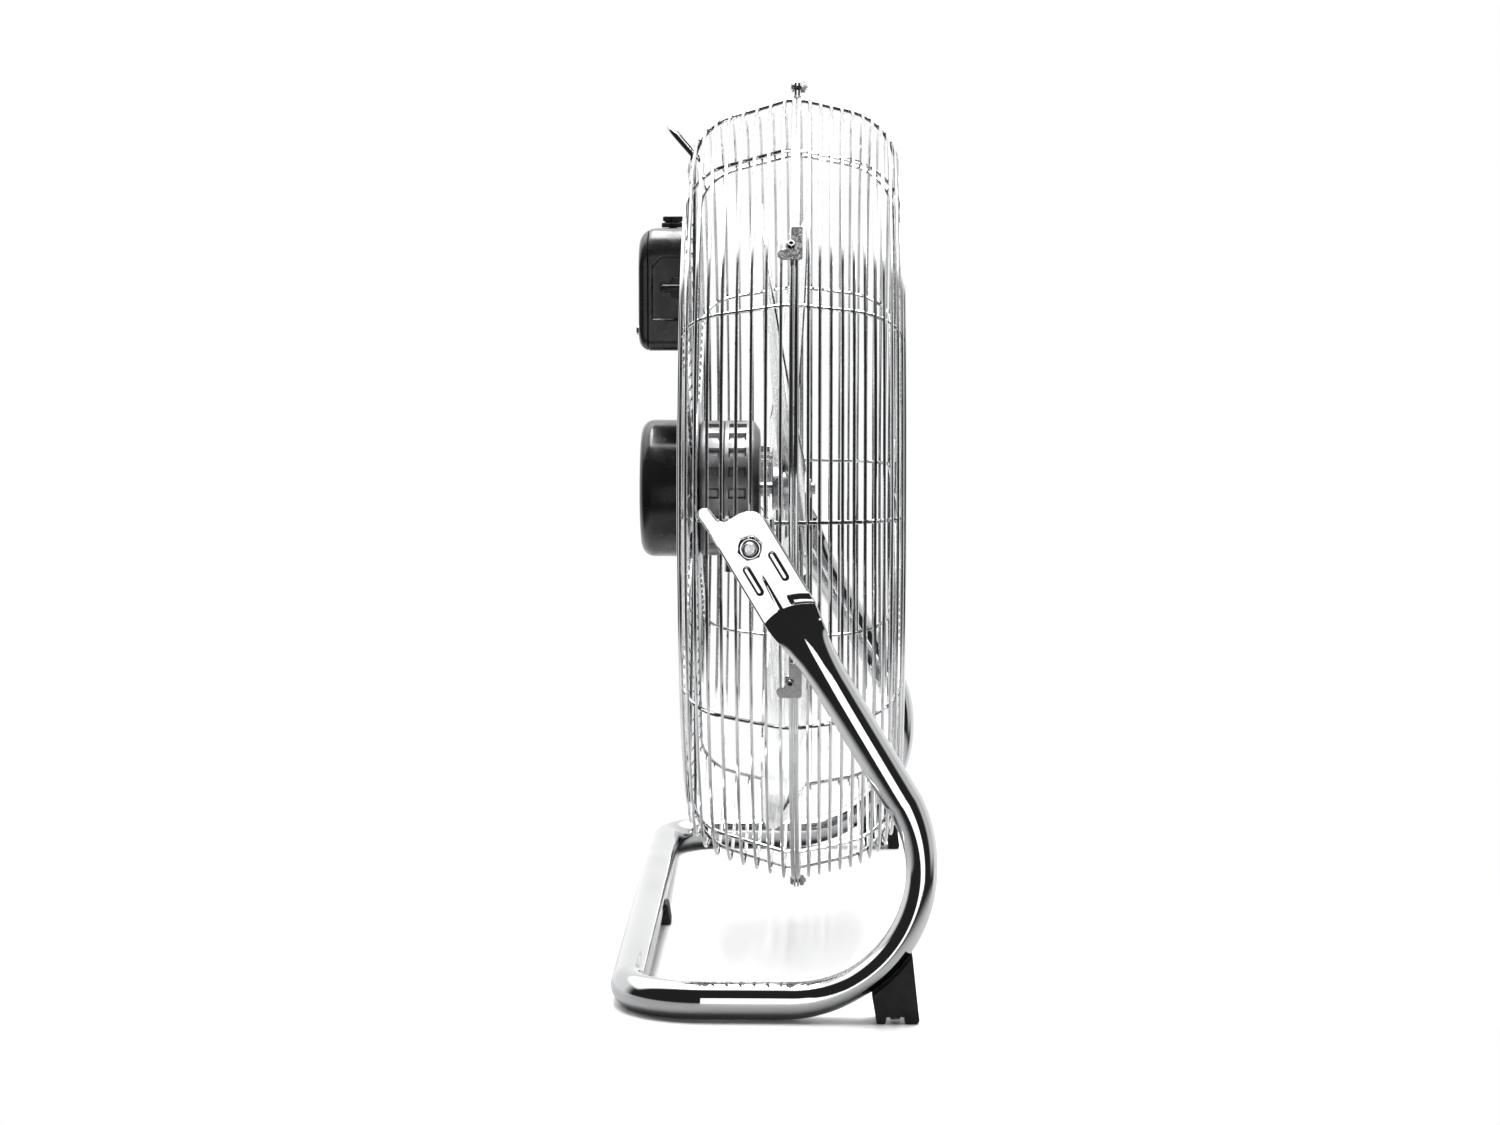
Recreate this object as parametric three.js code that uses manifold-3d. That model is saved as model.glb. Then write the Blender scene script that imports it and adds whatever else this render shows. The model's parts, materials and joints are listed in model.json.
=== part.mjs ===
// High-velocity fan on a bent chrome tube stand: a drum-shaped wire cage with a rear-mounted motor,
// tilting between two flattened tube ends. Millimetres, +X is the blowing direction, +Z is up.
// Everything is drawn about the centre of the cage and lifted onto the floor at the end.
import * as THREE from 'three';
import { mergeVertices } from 'three/addons/utils/BufferGeometryUtils.js';
import Module from 'manifold-3d';

const wasm = await Module();
wasm.setup();

// ---- driving dimensions -------------------------------------------------------------------
const axisHeight = 288;        // cage centre above the floor
const centreShift = 12.25;     // moves the middle of the footprint to X = 0
const hoopRadius = 253;        // clamped rim of both guards
const hoopWire = 3.1;          // rim wire diameter
const hoopOffset = 1.85;       // each rim wire's distance from the seam
const ringWire = 2.2;          // concentric rings
const ribWire = 2.4;           // the twelve ribs inside the rings
const ribCount = 12;
const weldGap = 0.3;

// each half of the cage: a tapered wall, a rounded corner and a flat face
const rearGuardShape = { wallStart: 6.5, taper: 17, corner: 35, face: 68.7, pitch: 18.2, firstRing: 7.8,
  facePitch: 27.3, hub: 50 };
const frontGuardShape = { wallStart: 3.2, taper: 12.7, corner: 42, face: 66, pitch: 13.8, firstRing: 8.5,
  facePitch: 24.15, hub: 38 };

const tubeRadius = 11;         // 22 mm stand tube
const sideY = 276;             // centre plane of each side frame
const bendRadius = 78;         // vertical bend, centreline
const bendCentre = { x: -3, z: -199 };
const armLean = 31;            // degrees from vertical
const crossbarX = -98;
const cornerRadius = 45;       // plan bend between rail and crossbar
const pivot = { x: -24.7, z: -11.9 };
const plateWidth = 32.6, plateThick = 3.6, plateY = 274;

const motorRadius = 44, shaftRadius = 4;
const bladeRadius = 222, bladeCount = 3, bladeDepth = 15;
const coverRadius = 45, coverRear = -101;
const box = { rear: -101, front: -71, low: 91, high: 169, half: 42, wall: 2.2 };
const knobX = -80.5;

// ---- materials ----------------------------------------------------------------------------
const looks = {
  chrome: { color: 0xdadcde, roughness: 0.08, metalness: 1 },
  wire: { color: 0xd2d4d6, roughness: 0.16, metalness: 1 },
  zinc: { color: 0xa9abad, roughness: 0.38, metalness: 1 },
  aluminium: { color: 0xc9cacc, roughness: 0.34, metalness: 1 },
  gloss: { color: 0x0b0b0c, roughness: 0.12, metalness: 0 },
  matt: { color: 0x131314, roughness: 0.62, metalness: 0 },
  rubber: { color: 0x19191a, roughness: 0.85, metalness: 0 },
  lamination: { color: 0x6e6f72, roughness: 0.5, metalness: 1 },
  copper: { color: 0xa8632f, roughness: 0.42, metalness: 1 },
};
const rad = THREE.MathUtils.degToRad;
const v3 = (x, y, z) => new THREE.Vector3(x, y, z);

// ---- solids -------------------------------------------------------------------------------
function solid(geometry) {
  const g = geometry.clone();
  g.deleteAttribute('normal');
  g.deleteAttribute('uv');
  const merged = mergeVertices(g, 1e-4);
  const make = (tri) => new wasm.Manifold(new wasm.Mesh({
    numProp: 3, vertProperties: merged.attributes.position.array, triVerts: tri }));
  const index = new Uint32Array(merged.index.array);
  const made = make(index);
  if (made.volume() >= 0) return made;
  for (let i = 0; i < index.length; i += 3) [index[i + 1], index[i + 2]] = [index[i + 2], index[i + 1]];
  return make(index);
}

function geometryOf(body) {
  const m = body.getMesh();
  const g = new THREE.BufferGeometry();
  const xyz = new Float32Array(m.numVert * 3);
  for (let i = 0; i < m.numVert; i++) {
    xyz.set(m.vertProperties.subarray(i * m.numProp, i * m.numProp + 3), i * 3);
  }
  g.setAttribute('position', new THREE.BufferAttribute(xyz, 3));
  g.setIndex(new THREE.BufferAttribute(new Uint32Array(m.triVerts), 1));
  return g;
}

// skin over a row of matching sections; closed joins the last to the first, otherwise the ends are capped
function loft(sections, closed = false) {
  const n = sections[0].length, rows = sections.length, index = [];
  for (let i = 0; i < (closed ? rows : rows - 1); i++) {
    const a = i * n, b = ((i + 1) % rows) * n;
    for (let j = 0; j < n; j++) {
      const k = (j + 1) % n;
      index.push(a + j, b + j, b + k, a + j, b + k, a + k);
    }
  }
  if (!closed) {
    for (let j = 1; j < n - 1; j++) {
      index.push(0, j, j + 1);
      index.push((rows - 1) * n, (rows - 1) * n + j + 1, (rows - 1) * n + j);
    }
  }
  const g = new THREE.BufferGeometry().setFromPoints(sections.flat());
  g.setIndex(index);
  return solid(g);
}

const block = (x0, x1, y0, y1, z0, z1) => solid(new THREE.BoxGeometry(x1 - x0, y1 - y0, z1 - z0)
  .translate((x0 + x1) / 2, (y0 + y1) / 2, (z0 + z1) / 2));

// round bar between two points along X, Y or Z
function bar(axis, radius, from, to, at, sides = 16) {
  const g = new THREE.CylinderGeometry(radius, radius, to - from, sides);
  g.translate(0, (from + to) / 2, 0);
  if (axis === 'x') g.rotateZ(-Math.PI / 2);
  if (axis === 'z') g.rotateX(Math.PI / 2);
  return solid(g.translate(...at));
}

// body of revolution about X: profile of [x, radius] pairs
function turned(profile, sides = 20) {
  const first = profile[0], last = profile[profile.length - 1];
  const pts = profile.map(([x, r]) => new THREE.Vector2(r, x));
  if (first[1] > 0 || last[1] > 0) pts.push(pts[0].clone());
  return solid(new THREE.LatheGeometry(pts, sides).rotateZ(-Math.PI / 2));
}

// flat plate drawn in the XZ plane and given a thickness along Y
function plateXZ(outline, y0, y1, curve = 6) {
  const g = new THREE.ExtrudeGeometry(outline, { depth: y1 - y0, bevelEnabled: false, curveSegments: curve });
  return solid(g.rotateX(Math.PI / 2).translate(0, y1, 0));
}

const fan = new THREE.Group();
fan.position.set(centreShift, 0, axisHeight);
const stand = new THREE.Group(), head = new THREE.Group(), rotor = new THREE.Group(), knobs = new THREE.Group();
fan.add(stand, head, rotor, knobs);

function piece(group, name, body, look) {
  const mesh = new THREE.Mesh(geometryOf(body), new THREE.MeshStandardMaterial(looks[look]));
  mesh.name = name;
  group.add(mesh);
  return mesh;
}

// ---- guards -------------------------------------------------------------------------------
// The profile of one half, by distance s from the seam: x away from the seam, r from the axis,
// and the angle the surface has turned towards the face.
function profileOf(g) {
  const a = rad(g.taper), turn = Math.PI / 2 - a;
  const wall = (g.face - g.wallStart - g.corner * (1 - Math.sin(a))) / Math.cos(a);
  const arc = g.corner * turn;
  const atCorner = { x: g.wallStart + wall * Math.cos(a), r: hoopRadius - wall * Math.sin(a) };
  const rim = { r: atCorner.r - g.corner * Math.cos(a) };
  return {
    faceStart: g.wallStart + wall + arc,
    faceRadius: rim.r,
    at(s) {
      if (s < g.wallStart) return { x: s, r: hoopRadius, a: 0 };
      if (s < g.wallStart + wall) {
        const d = s - g.wallStart;
        return { x: g.wallStart + d * Math.cos(a), r: hoopRadius - d * Math.sin(a), a };
      }
      if (s < g.wallStart + wall + arc) {
        const b = a + (s - g.wallStart - wall) / g.corner;
        return { x: atCorner.x + g.corner * (Math.sin(b) - Math.sin(a)),
          r: atCorner.r - g.corner * (Math.cos(a) - Math.cos(b)), a: b };
      }
      return { x: g.face, r: rim.r - (s - g.wallStart - wall - arc), a: Math.PI / 2 };
    },
  };
}

// closed wire ring about X; its section has one corner facing out of the cage
function ring(side, p, wire, segments, corners = 3) {
  const rows = [];
  for (let i = 0; i < segments; i++) {
    const t = (i / segments) * 2 * Math.PI;
    const row = [];
    for (let j = 0; j < corners; j++) {
      const f = (j / corners) * 2 * Math.PI + p.a;
      const r = p.r + (wire * 0.58) * Math.cos(f);
      const x = p.x + (wire * 0.58) * Math.sin(f);
      row.push(v3(side * x, r * Math.sin(t), r * Math.cos(t)));
    }
    rows.push(row);
  }
  return loft(rows, true);
}

// a rib follows the profile just inside the rings, flat side out
function rib(side, profile, g, angle, lift) {
  const out = v3(0, Math.sin(angle), Math.cos(angle)), across = v3(0, Math.cos(angle), -Math.sin(angle));
  const marks = [0.9, g.wallStart];
  const bends = lift > 0 ? 8 : 4;
  for (let k = 0; k <= bends; k++) marks.push(profile.faceStart - g.corner * rad(90 - g.taper) * (1 - k / bends));
  marks.push(profile.faceStart + profile.faceRadius - g.hub);
  const drop = ringWire * 0.29 + weldGap - lift;
  const rows = marks.map((s, k) => {
    const p = profile.at(s);
    const d = k === 0 ? 0.6 : drop;
    const at = (depth, y) => v3(side * (p.x - depth * Math.sin(p.a)), 0, 0)
      .addScaledVector(out, p.r - depth * Math.cos(p.a)).addScaledVector(across, y);
    return [at(d, -ribWire / 2), at(d, ribWire / 2), at(d + ribWire * 0.9, 0)];
  });
  return loft(rows);
}

function guard(side, g, extras) {
  const profile = profileOf(g);
  let body = ring(side, { x: hoopOffset, r: hoopRadius, a: 0 }, hoopWire * 0.87, 36, 5);
  const hubX = g.face - ringWire * 0.29 - weldGap - ribWire * 0.45;
  body = body.add(ring(side, { x: hubX, r: g.hub, a: Math.PI / 4 }, 3.4, 12, 4));
  for (let k = 0; k < ribCount; k++) {
    body = body.add(rib(side, profile, g, k * 2 * Math.PI / ribCount, k === 0 ? weldGap + 0.4 : 0));
  }
  let s = g.firstRing;
  while (profile.at(s).r > g.hub + g.facePitch * 0.55) {
    const p = profile.at(s);
    const segments = p.r > 120 ? 24 : 12;
    body = body.add(ring(side, p, ringWire, segments));
    s += s < profile.faceStart - 2 ? g.pitch : g.facePitch;
  }
  for (const e of extras) body = body.add(e);
  return body;
}

// ears on the rim for the seam screws, at the top and the bottom
function seamEar(side, up) {
  const x0 = side > 0 ? 0.45 : -1.75, r0 = hoopRadius - 0.6;
  const ear = up > 0 ? block(x0, x0 + 1.3, -4.5, 4.5, r0, hoopRadius + 11)
    : block(x0, x0 + 1.3, -4.5, 4.5, -hoopRadius - 11, -r0);
  return ear.subtract(bar('x', 2.15, -4, 4, [0, 0, up * (hoopRadius + 6.5)], 12));
}

// turns something drawn at the top of the rim round to a place on it, angle from the top towards +Y
function around(body, angle) {
  return body.rotate([-THREE.MathUtils.radToDeg(angle), 0, 0]);
}

// latch places: angle from the top; the sign is the side
const latches = [['left_upper', 52.7], ['left_lower', 113.4], ['right_upper', -52.7], ['right_lower', -113.4]];
const rivet = { x: -2.0, t: 6.9 };   // from the seam, and up the rim from the middle of the latch's foot

// a small ear on the rear rim carries each latch's rivet; up is towards the top of the fan
function latchEar(deg) {
  const s = Math.sign(deg);
  const y = -s * rivet.t;
  return around(block(-4.9, -0.5, y - 3.4, y + 3.4, hoopRadius - 0.4, hoopRadius + 1.3), rad(deg));
}

const rearExtras = [seamEar(-1, 1), seamEar(-1, -1), ...latches.map(([, d]) => latchEar(d))];
piece(head, 'rear_guard', guard(-1, rearGuardShape, rearExtras), 'wire');
piece(head, 'front_guard', guard(1, frontGuardShape, [seamEar(1, 1), seamEar(1, -1)]), 'wire');

for (const [name, up] of [['top', 1], ['bottom', -1]]) {
  const z = up * (hoopRadius + 6.5);
  const screw = bar('x', 1.95, -3, 6.5, [0, 0, z], 12).add(bar('x', 3.4, -4.2, -2.1, [0, 0, z], 12));
  piece(head, `seam_screw_${name}`, screw, 'zinc');
  const nut = bar('x', 3.9, 2.1, 5.1, [0, 0, z], 6).subtract(bar('x', 2.2, 1, 7, [0, 0, z], 12));
  piece(head, `seam_nut_${name}`, nut, 'zinc');
}

// ---- rim latches: an L of sheet steel turning on a rivet ----------------------------------
function latchBody(deg) {
  const s = Math.sign(deg), up = -s;           // across the rim, towards the top of the fan
  const outline = new THREE.Shape();
  outline.moveTo(-6.3, -3.7);
  outline.lineTo(4.9, -3.7);
  outline.lineTo(4.9, 20.4);
  outline.lineTo(-2.2, 20.4);
  outline.lineTo(-2.2, 10.6);
  outline.lineTo(-4.2, 9.4);
  outline.lineTo(-5.1, 7.2);
  outline.lineTo(-5.1, 4.6);
  outline.lineTo(-6.3, 3.7);
  outline.absarc(-6.3, 0, 3.7, Math.PI / 2, 3 * Math.PI / 2, false);
  const hole = new THREE.Path();
  hole.absarc(rivet.x, rivet.t, 1.75, 0, 2 * Math.PI, true);
  outline.holes.push(hole);
  const g = new THREE.ExtrudeGeometry(outline, { depth: 1.4, bevelEnabled: false, curveSegments: 6 });
  let body = solid(g.translate(0, 0, hoopRadius + 1.95));
  body = body.add(block(3.6, 4.9, 11.5, 20.4, hoopRadius + 0.35, hoopRadius + 2.5));
  return around(up > 0 ? body : body.mirror([0, 1, 0]), rad(deg));
}
const latchGroups = [];
for (const [name, deg] of latches) {
  const group = new THREE.Group();
  fan.add(group);
  latchGroups.push(group);
  piece(group, `latch_${name}`, latchBody(deg), 'zinc');
  const y = -Math.sign(deg) * rivet.t, r = hoopRadius;
  const pin = bar('z', 1.5, r + 1.65, r + 4, [rivet.x, y, 0], 12).add(bar('z', 2.5, r + 3.65, r + 4.9,
    [rivet.x, y, 0], 12));
  piece(head, `latch_rivet_${name}`, around(pin, rad(deg)), 'zinc');
}

// ---- carry handle: a wire loop leaning out of the rear guard's upper corner ----------------
{
  const foot = v3(-64.2, 0, 213.4), lean = v3(-0.66, 0, 0.751), half = 42, reach = 26, r = 9, wire = 2.1;
  const path = [];
  const at = (y, d) => foot.clone().addScaledVector(lean, d).add(v3(0, y, 0));
  path.push([at(-half, 0), lean.clone()]);
  path.push([at(-half, reach - r), lean.clone()]);
  for (let k = 1; k <= 4; k++) {
    const a = (k / 4) * Math.PI / 2;
    path.push([at(-half + r - r * Math.cos(a), reach - r + r * Math.sin(a)),
      lean.clone().multiplyScalar(Math.cos(a)).add(v3(0, Math.sin(a), 0))]);
  }
  const mirrored = path.slice().reverse().map(([p, t]) => [v3(p.x, -p.y, p.z), v3(-t.x, t.y, -t.z)]);
  const flat = v3(0, 0, 0).crossVectors(lean, v3(0, 1, 0)).normalize();
  const rows = [...path, ...mirrored].map(([p, t]) => {
    const side = v3(0, 0, 0).crossVectors(t, flat).normalize();
    return Array.from({ length: 8 }, (_, j) => p.clone()
      .addScaledVector(side, wire * Math.cos(j * Math.PI / 4))
      .addScaledVector(flat, wire * Math.sin(j * Math.PI / 4)));
  });
  piece(head, 'carry_handle', loft(rows), 'chrome');
}

// ---- stand: one bent tube, both ends pressed flat ------------------------------------------
{
  const lean = rad(armLean);
  const down = v3(Math.sin(lean), 0, -Math.cos(lean));
  const tangentX = bendCentre.x + bendRadius * Math.cos(lean), tangentZ = bendCentre.z
    + bendRadius * Math.sin(lean);
  const armLength = Math.hypot(tangentX - pivot.x, tangentZ - pivot.z);
  const railZ = bendCentre.z - bendRadius;
  const stations = [];             // centre, side axis, normal axis, half width, half depth, squareness, y offset
  const along = (d, a, b, e, y) => stations.push([v3(pivot.x, 0, pivot.z).addScaledVector(down, d), v3(0, 1, 0),
    v3(Math.cos(lean), 0, Math.sin(lean)), a, b, e, -sideY + y]);
  along(36, plateThick / 2, plateWidth / 2, 0.25, sideY - plateY);
  along(43, plateThick / 2, plateWidth / 2, 0.25, sideY - plateY);
  along(47, 5.2, plateWidth / 2 - 0.4, 0.5, 1.4);
  along(54, 9, 14.4, 0.8, 0.5);
  along(64, 10.7, 12, 1, 0);
  along(74, 11, 11, 1, 0);
  const flatten = (k) => Math.min(1, 4 * Math.min(k, 1 - k));
  for (let k = 0; k <= 10; k++) {
    const a = lean - (k / 10) * (lean + Math.PI / 2), f = flatten(k / 10);
    stations.push([v3(bendCentre.x + bendRadius * Math.cos(a), 0, bendCentre.z + bendRadius * Math.sin(a)),
      v3(0, 1, 0), v3(Math.cos(a), 0, Math.sin(a)), tubeRadius + 0.9 * f, tubeRadius - 1.4 * f, 1, -sideY]);
  }
  const cx = crossbarX + cornerRadius, cy = sideY - cornerRadius;
  for (let k = 0; k <= 5; k++) {
    const a = (k / 5) * Math.PI / 2;
    stations.push([v3(cx - cornerRadius * Math.sin(a), 0, railZ), v3(Math.sin(a), Math.cos(a), 0),
      v3(0, 0, -1), tubeRadius, tubeRadius, 1, -cy - cornerRadius * Math.cos(a)]);
  }
  const mirrored = stations.slice().reverse().map(([p, u, w, a, b, e, y]) => [p, v3(u.x, -u.y, 0), w, a, b, e,
    -y]);
  const sides = 14;
  const rows = [...stations, ...mirrored].map(([p, u, w, a, b, e, y]) => Array.from({ length: sides }, (_, j) => {
    const t = (j + 0.5) * 2 * Math.PI / sides;
    const c = Math.sign(Math.cos(t)) * Math.abs(Math.cos(t)) ** e;
    const s = Math.sign(Math.sin(t)) * Math.abs(Math.sin(t)) ** e;
    return p.clone().addScaledVector(u, a * c).addScaledVector(w, b * s).add(v3(0, y, 0));
  }));
  let tube = loft(rows);

  // pressed end: rounded top, a stop finger at its rear edge, pivot hole and two pressed grooves
  const h = plateWidth / 2;
  const outline = new THREE.Shape();
  outline.moveTo(h, -40);
  outline.lineTo(h, 8);
  outline.absarc(h - 12, 8, 12, 0, Math.PI / 2, false);
  outline.lineTo(-h + 8.6, 20);
  outline.lineTo(-h + 7, 29.5);
  outline.absarc(-h + 3.5, 28.6, 3.5, 0.2, Math.PI, false);
  outline.lineTo(-h, -40);
  const hole = new THREE.Path();
  hole.absarc(0, 0, 4.25, 0, 2 * Math.PI, true);
  outline.holes.push(hole);
  const groove = new THREE.Shape();
  groove.absarc(0, 7.4, 1.6, 0, Math.PI, false);
  groove.absarc(0, -7.4, 1.6, Math.PI, 2 * Math.PI, false);
  for (const s of [-1, 1]) {
    const inner = plateY - plateThick / 2, outer = plateY + plateThick / 2;
    const span = s < 0 ? [-outer, -inner] : [inner, outer];
    let end = plateXZ(outline, ...span);
    const cut = s < 0 ? [-outer - 1, -outer + 0.7] : [outer - 0.7, outer + 1];
    for (const dx of [-8.5, 8.5]) end = end.subtract(plateXZ(groove, ...cut, 4).translate([dx, 0, -17.5]));
    tube = tube.add(end.rotate([0, -armLean, 0]).translate([pivot.x, 0, pivot.z]));
  }
  piece(stand, 'stand_tube', tube, 'chrome');
}

// wedge feet under the big bends
{
  const r = bendRadius + tubeRadius - 1.4 + 0.35;
  const outline = new THREE.Shape();
  const a0 = -0.965, a1 = -0.615;
  outline.moveTo(49.5, -axisHeight);
  outline.lineTo(54, -axisHeight);
  outline.lineTo(54.6, -axisHeight + 3.4);
  outline.lineTo(65, -axisHeight + 3.4);
  outline.lineTo(65.6, -axisHeight);
  outline.lineTo(74, -axisHeight);
  outline.lineTo(bendCentre.x + r * Math.cos(a1) + 0.6, bendCentre.z + r * Math.sin(a1) - 0.8);
  for (let k = 0; k <= 6; k++) {
    const a = a1 + (k / 6) * (a0 - a1);
    outline.lineTo(bendCentre.x + r * Math.cos(a), bendCentre.z + r * Math.sin(a));
  }
  for (const [name, s] of [['left', 1], ['right', -1]]) {
    const hole = bar('z', 1.75, -axisHeight + 1, -axisHeight + 14.5, [59.8, s * sideY, 0], 10);
    const foot = plateXZ(outline, s * sideY - 11, s * sideY + 11).subtract(hole);
    piece(stand, `front_foot_${name}`, foot, 'matt');
    const screw = bar('z', 1.45, -axisHeight + 2.6, -axisHeight + 13.6, [59.8, s * sideY, 0], 10)
      .add(bar('z', 3, -axisHeight + 0.9, -axisHeight + 3.05, [59.8, s * sideY, 0], 10));
    piece(stand, `foot_screw_${name}`, screw, 'zinc');
  }
  const pad = new THREE.Shape();
  const cz = bendCentre.z - bendRadius, pr = tubeRadius + 0.35;
  pad.moveTo(crossbarX + pr * Math.cos(1.0), -axisHeight);
  pad.lineTo(-79.5, -axisHeight);
  pad.lineTo(-82, -275);
  pad.lineTo(crossbarX + pr * Math.cos(0.2) + 1.8, cz + pr * Math.sin(0.2));
  for (let k = 0; k <= 4; k++) {
    const a = 0.2 - (k / 4) * 1.1;
    pad.lineTo(crossbarX + pr * Math.cos(a), cz + pr * Math.sin(a));
  }
  piece(stand, 'rear_foot', plateXZ(pad, -10, 10), 'rubber');
}

// ---- pivots: a bridge bracket on the rear guard, bolt, spacer and nut on each side ---------
for (const [name, s] of [['left', 1], ['right', -1]]) {
  const y = (a, b) => (s > 0 ? [a, b] : [-b, -a]);
  const z0 = pivot.z - 15.5, z1 = pivot.z + 15.5;
  const at = [pivot.x, 0, pivot.z];
  let bracket = block(-39.8, -11, ...y(262, 264.2), z0, z1)
    .add(block(-39.8, -37.6, ...y(243.8, 263), z0, z1))
    .add(block(-13.2, -11, ...y(250.9, 263), z0, z1));
  bracket = bracket.subtract(bar('y', 4.5, ...y(255, 270), at));
  piece(head, `pivot_bracket_${name}`, bracket, 'zinc');
  const bolt = bar('y', 4, ...y(261, 284.5), at, 16).add(bar('y', 7.4, ...y(256.2, 261.7), at, 6));
  piece(head, `pivot_bolt_${name}`, bolt, 'zinc');
  const spacer = bar('y', 9.5, ...y(264.5, 271.9), at, 16).subtract(bar('y', 4.4, ...y(260, 275), at));
  piece(head, `pivot_spacer_${name}`, spacer, 'matt');
  const nut = bar('y', 7.5, ...y(277.9, 283), at, 6).subtract(bar('y', 4.35, ...y(270, 290), at));
  piece(head, `pivot_nut_${name}`, nut, 'chrome');
  const washer = bar('y', 8.4, ...y(276.1, 277.6), at, 16).subtract(bar('y', 4.35, ...y(270, 290), at));
  piece(head, `pivot_washer_${name}`, washer, 'zinc');
}

// ---- motor --------------------------------------------------------------------------------
const screwRing = 30;
const screwAngles = [45, 135, 225, 315].map(rad);
const aroundAxis = (a, r) => [0, r * Math.sin(a), r * Math.cos(a)];
{
  let plate = turned([[-65.2, 12], [-65.2, 57], [-63.2, 57], [-63.2, 12]], 24);
  let rear = turned([[-62.9, 0], [-62.9, motorRadius], [-47, motorRadius], [-47, 41], [-59.9, 41], [-59.9, 14],
    [-53.4, 14], [-53.4, 11.2], [-60.9, 11.2], [-60.9, 0]]);
  for (const a of screwAngles) {
    plate = plate.subtract(bar('x', 2.4, -67, -61, aroundAxis(a, screwRing), 8));
    rear = rear.subtract(bar('x', 2.2, -64, -58, aroundAxis(a, screwRing), 8));
  }
  piece(head, 'motor_mount_plate', plate, 'zinc');
  piece(head, 'motor_rear_bell', rear, 'aluminium');
  screwAngles.forEach((a, k) => {
    const at = aroundAxis(a, screwRing);
    const screw = bar('x', 1.8, -66, -60.2, at, 8).add(bar('x', 3.4, -67.6, -65.5, at, 8));
    piece(head, `motor_screw_${k + 1}`, screw, 'zinc');
  });
  piece(head, 'motor_front_bell', turned([[-24, 6], [-24, motorRadius - 5], [-27, motorRadius],
    [-46.7, motorRadius], [-46.7, 41], [-27.5, 41], [-27.5, 14], [-34.5, 14], [-34.5, 11.2], [-26.2, 11.2],
    [-26.2, 6]]), 'aluminium');
  piece(head, 'stator_core', turned([[-52, 22.4], [-52, 40.6], [-36, 40.6], [-36, 22.4]]), 'lamination');
  piece(head, 'stator_coil_rear', turned([[-57, 25], [-57, 36], [-52.4, 37], [-52.4, 24]], 20), 'copper');
  piece(head, 'stator_coil_front', turned([[-35.6, 24], [-35.6, 37], [-31, 36], [-31, 25]], 20), 'copper');
  piece(head, 'bearing_rear', turned([[-60.5, 4.15], [-60.5, 10.8], [-53.7, 10.8], [-53.7, 4.15]], 16), 'zinc');
  piece(head, 'bearing_front', turned([[-33.4, 4.15], [-33.4, 10.8], [-26.6, 10.8], [-26.6, 4.15]], 16), 'zinc');

  piece(rotor, 'motor_shaft', bar('x', shaftRadius, -60.2, 12, [0, 0, 0], 16), 'zinc');
  piece(rotor, 'rotor_core', turned([[-51.5, 4.3], [-51.5, 21.8], [-36.5, 21.8], [-36.5, 4.3]], 20), 'lamination');
}

// black rear cover over the motor's end and its capacitor
piece(head, 'motor_rear_cover', turned([[coverRear, 0], [coverRear, 36], [coverRear + 1.2, 40],
  [coverRear + 4, 43.4], [coverRear + 9, coverRadius], [-65.6, coverRadius], [-65.6, 42.8],
  [coverRear + 9, 42.8], [coverRear + 4, 40], [coverRear + 2.2, 35], [coverRear + 2.2, 0]], 24), 'gloss');
piece(head, 'run_capacitor', block(-94, -72, -17, 17, -11, 11), 'matt');

// ---- blades -------------------------------------------------------------------------------
{
  // one blade: a dished, twisted sheet between the spider and the tip
  const blade = (turn) => {
    const rows = [], cols = 5, steps = 5;
    for (let i = 0; i <= steps; i++) {
      const r = 34 + (bladeRadius - 34) * (i / steps);
      const half = rad(22 + 16 * Math.sin((i / steps) * Math.PI * 0.62));
      const trim = i === steps ? 0.8 : 1;
      const upper = [], lower = [];
      for (let j = 0; j <= cols; j++) {
        const u = (j / cols) * 2 - 1;
        const a = turn + u * half * trim;
        const depth = bladeDepth * (0.35 + 0.65 * Math.sin((i / steps) * Math.PI * 0.5));
        const x = -7 - u * depth * 0.95 - 2.5 * (1 - u * u);
        upper.push(v3(x + 0.6, r * Math.sin(a), r * Math.cos(a)));
        lower.unshift(v3(x - 0.6, r * Math.sin(a), r * Math.cos(a)));
      }
      rows.push([...upper, ...lower]);
    }
    return loft(rows);
  };
  let body = turned([[-10.4, 14.6], [-10.4, 46], [-8.8, 46], [-8.8, 14.6]]);
  for (let k = 0; k < bladeCount; k++) body = body.add(blade(rad(60 + k * 360 / bladeCount)));
  piece(rotor, 'fan_blades', body, 'aluminium');

  const hub = turned([[-16, 4.3], [-16, 14.2], [4, 14.2], [4, 4.3]]).subtract(
    bar('z', 2.3, 3, 20, [-1, 0, 0], 10));
  piece(rotor, 'blade_hub', hub, 'zinc');
  piece(rotor, 'hub_set_screw', bar('z', 1.95, 4.35, 13.4, [-1, 0, 0], 10), 'matt');
  const nut = bar('x', 7, 4.4, 9.4, [0, 0, 0], 6).subtract(bar('x', 4.35, 0, 14, [0, 0, 0]));
  piece(rotor, 'shaft_nut', nut, 'zinc');
}

// plain centre disc on the front guard
piece(head, 'front_badge', turned([[66.3, 0], [66.3, 41], [67.6, 42.5], [68.8, 41], [69.6, 30], [70, 0]], 24),
  'chrome');

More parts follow.
